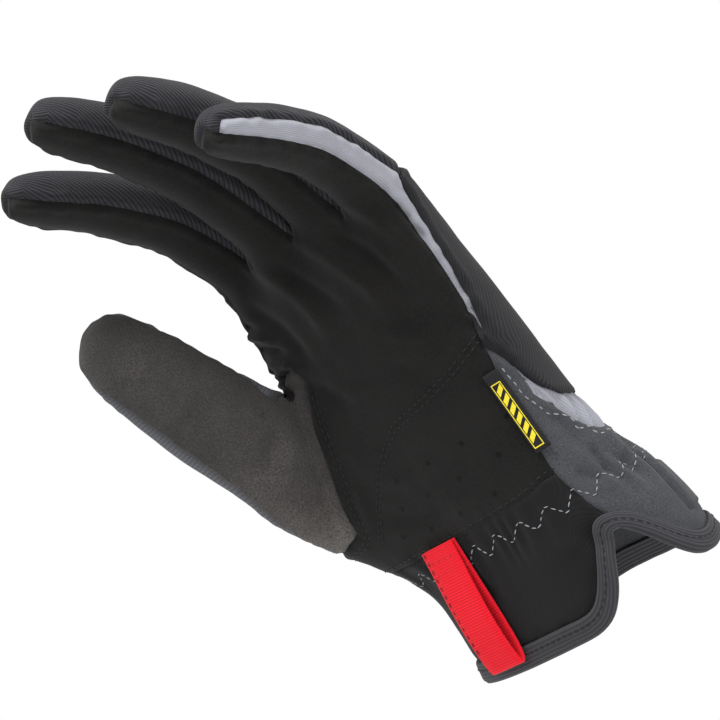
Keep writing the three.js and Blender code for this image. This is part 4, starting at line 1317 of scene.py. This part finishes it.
# The print: its edges across and down the label, and its back and face in millimetres
PRINT_LEFT, PRINT_RIGHT, PRINT_TOP, PRINT_FOOT = -0.82, 0.42, 0.13, 0.95
PRINT_BACK, PRINT_FACE = 0.4, 0.56
LINE_ACROSS, LINE_DOWN = 0.1, 0.012
BAR_COUNT = 6
BAR_INSET = 0.2
BAR_TOP, BAR_ROOM = 0.09, 0.1
BAR_LEAN = 0.07
BAR_STEPS = 8
label_places = seen_line(LABEL_SEEN, 0.3 * MM)
LABEL_OUT = unit(np.mean([normal for _, normal in label_places], axis=0) * (1, 1, 0))
LABEL_ACROSS = np.array((-LABEL_OUT[1], LABEL_OUT[0], 0))
label_corners = np.array([place for place, _ in label_places[::LABEL_SEEN_STEP]])
label_corners += LABEL_OUT * LABEL_CLEAR
label_line, _ = smooth_path(label_corners, LABEL_STEPS)


def on_label(across, down, out):
    """A point by its place across the label, -1 to 1, down it, 0 to 1, and out in millimetres."""
    shares = np.linspace(0, 1, LABEL_STEPS)
    at = np.array([np.interp(down, shares, label_line[:, i]) for i in range(3)])
    return at + LABEL_ACROSS * across * LABEL_WIDTH / 2 + LABEL_OUT * out * MM


label_sections = []
for down in np.linspace(1, 0, LABEL_SECTIONS):
    ring = [on_label(u * 2, down, v * LABEL_HALF_THICK) for u, v in BAND_CORNERS]
    label_sections.append(np.array(ring))
label_black = ribbed_knit("label_black", (20, 20, 21), (34, 34, 36), 0.0005, 0, 0.00004)
dress(swept("label_base", label_sections), label_black, "yellow_label", "side_label")

bars = [
    (PRINT_LEFT, PRINT_LEFT + LINE_ACROSS, PRINT_TOP, PRINT_FOOT, 0),
    (PRINT_RIGHT - LINE_ACROSS, PRINT_RIGHT, PRINT_TOP, PRINT_FOOT, 0),
    (PRINT_LEFT, PRINT_RIGHT, PRINT_TOP, PRINT_TOP + LINE_DOWN, 0),
    (PRINT_LEFT, PRINT_RIGHT, PRINT_FOOT - LINE_DOWN, PRINT_FOOT, 0),
]
for i in range(BAR_COUNT):
    top = PRINT_TOP + BAR_TOP + i * (PRINT_FOOT - PRINT_TOP - BAR_ROOM) / BAR_COUNT
    bars.append((PRINT_LEFT + BAR_INSET, PRINT_RIGHT - BAR_INSET, top, top + BAR_LEAN, BAR_LEAN))
print_points, print_faces = [], []
for left, right, top, foot, lean in bars:
    start = len(print_points)
    corners = ((left, PRINT_BACK, 0), (right, PRINT_BACK, lean),
               (right, PRINT_FACE, lean), (left, PRINT_FACE, 0))
    for t in np.linspace(0, 1, BAR_STEPS + 1):
        down = top + (foot - top) * t
        print_points += [on_label(across, down - slope, rise) for across, rise, slope in corners]
    for i in range(BAR_STEPS):
        for k in range(4):
            a, b = start + i * 4 + k, start + i * 4 + (k + 1) % 4
            print_faces.append((a, a + 4, b + 4, b))
    end = start + BAR_STEPS * 4
    print_faces += [(start, start + 1, start + 2, start + 3), (end + 3, end + 2, end + 1, end)]
label_yellow = thread_material("label_yellow", (240, 218, 44))
dress(body_mesh("label_print", print_points, print_faces, smooth=False), label_yellow, "yellow_label")

# Studio
# A pale floor well below the glove, a white surround and two large soft lights; the camera looks
# at the edge of the palm by the little finger, rolled as the photograph is.
FLOOR_HALF = 1.15
FLOOR_DROP = -0.35
FLOOR_GREY = 0.92
FLOOR_CORNERS = ((-1, -1), (1, -1), (1, 1), (-1, 1))
floor_points = [(x * FLOOR_HALF, y * FLOOR_HALF, FLOOR_DROP) for x, y in FLOOR_CORNERS]
floor = body_mesh("floor", floor_points, [(0, 1, 2, 3)], smooth=False)
floor_paint, floor_shader = new_material("floor_paint", 0.9)
floor_shader.inputs["Base Color"].default_value = (FLOOR_GREY, FLOOR_GREY, FLOOR_GREY, 1)
floor.data.materials.append(floor_paint)

world = bpy.data.worlds.new("surround")
world.use_nodes = True
world.node_tree.nodes["Background"].inputs["Color"].default_value = (1, 1, 1, 1)
world.node_tree.nodes["Background"].inputs["Strength"].default_value = 1.0
bpy.context.scene.world = world
bpy.context.scene.view_settings.view_transform = "Standard"

camera_data = bpy.data.cameras.new("camera")
camera_data.lens = VIEW_LENS
camera_data.sensor_width = VIEW_SENSOR
camera = in_scene("camera", camera_data)
bpy.context.scene.camera = camera
azimuth, roll = math.radians(VIEW_AZIMUTH), math.radians(VIEW_ROLL)
towards = Vector((math.sin(azimuth), -math.cos(azimuth), 0))
level = Vector((math.cos(azimuth), math.sin(azimuth), 0))
right = level * math.cos(roll) - Vector((0, 0, 1)) * math.sin(roll)
up = towards.cross(right)
turn = Matrix((right, up, towards)).transposed().to_4x4()
camera.matrix_world = Matrix.Translation(AIM + towards * VIEW_DISTANCE) @ turn


def soft_light(name, across, above, front, size, power):
    """An area light placed by how far it is to the right, above and in front of the glove."""
    data = bpy.data.lights.new(name, "AREA")
    data.size = size
    data.energy = power
    place = AIM + right * across + up * above + towards * front
    aimed = (AIM - place).to_track_quat("-Z", "Y").to_matrix().to_4x4()
    in_scene(name, data).matrix_world = Matrix.Translation(place) @ aimed


soft_light("key", -0.6, 0.9, 0.35, 0.4, 16)
soft_light("fill", 0.8, 0.1, 0.5, 0.6, 3)
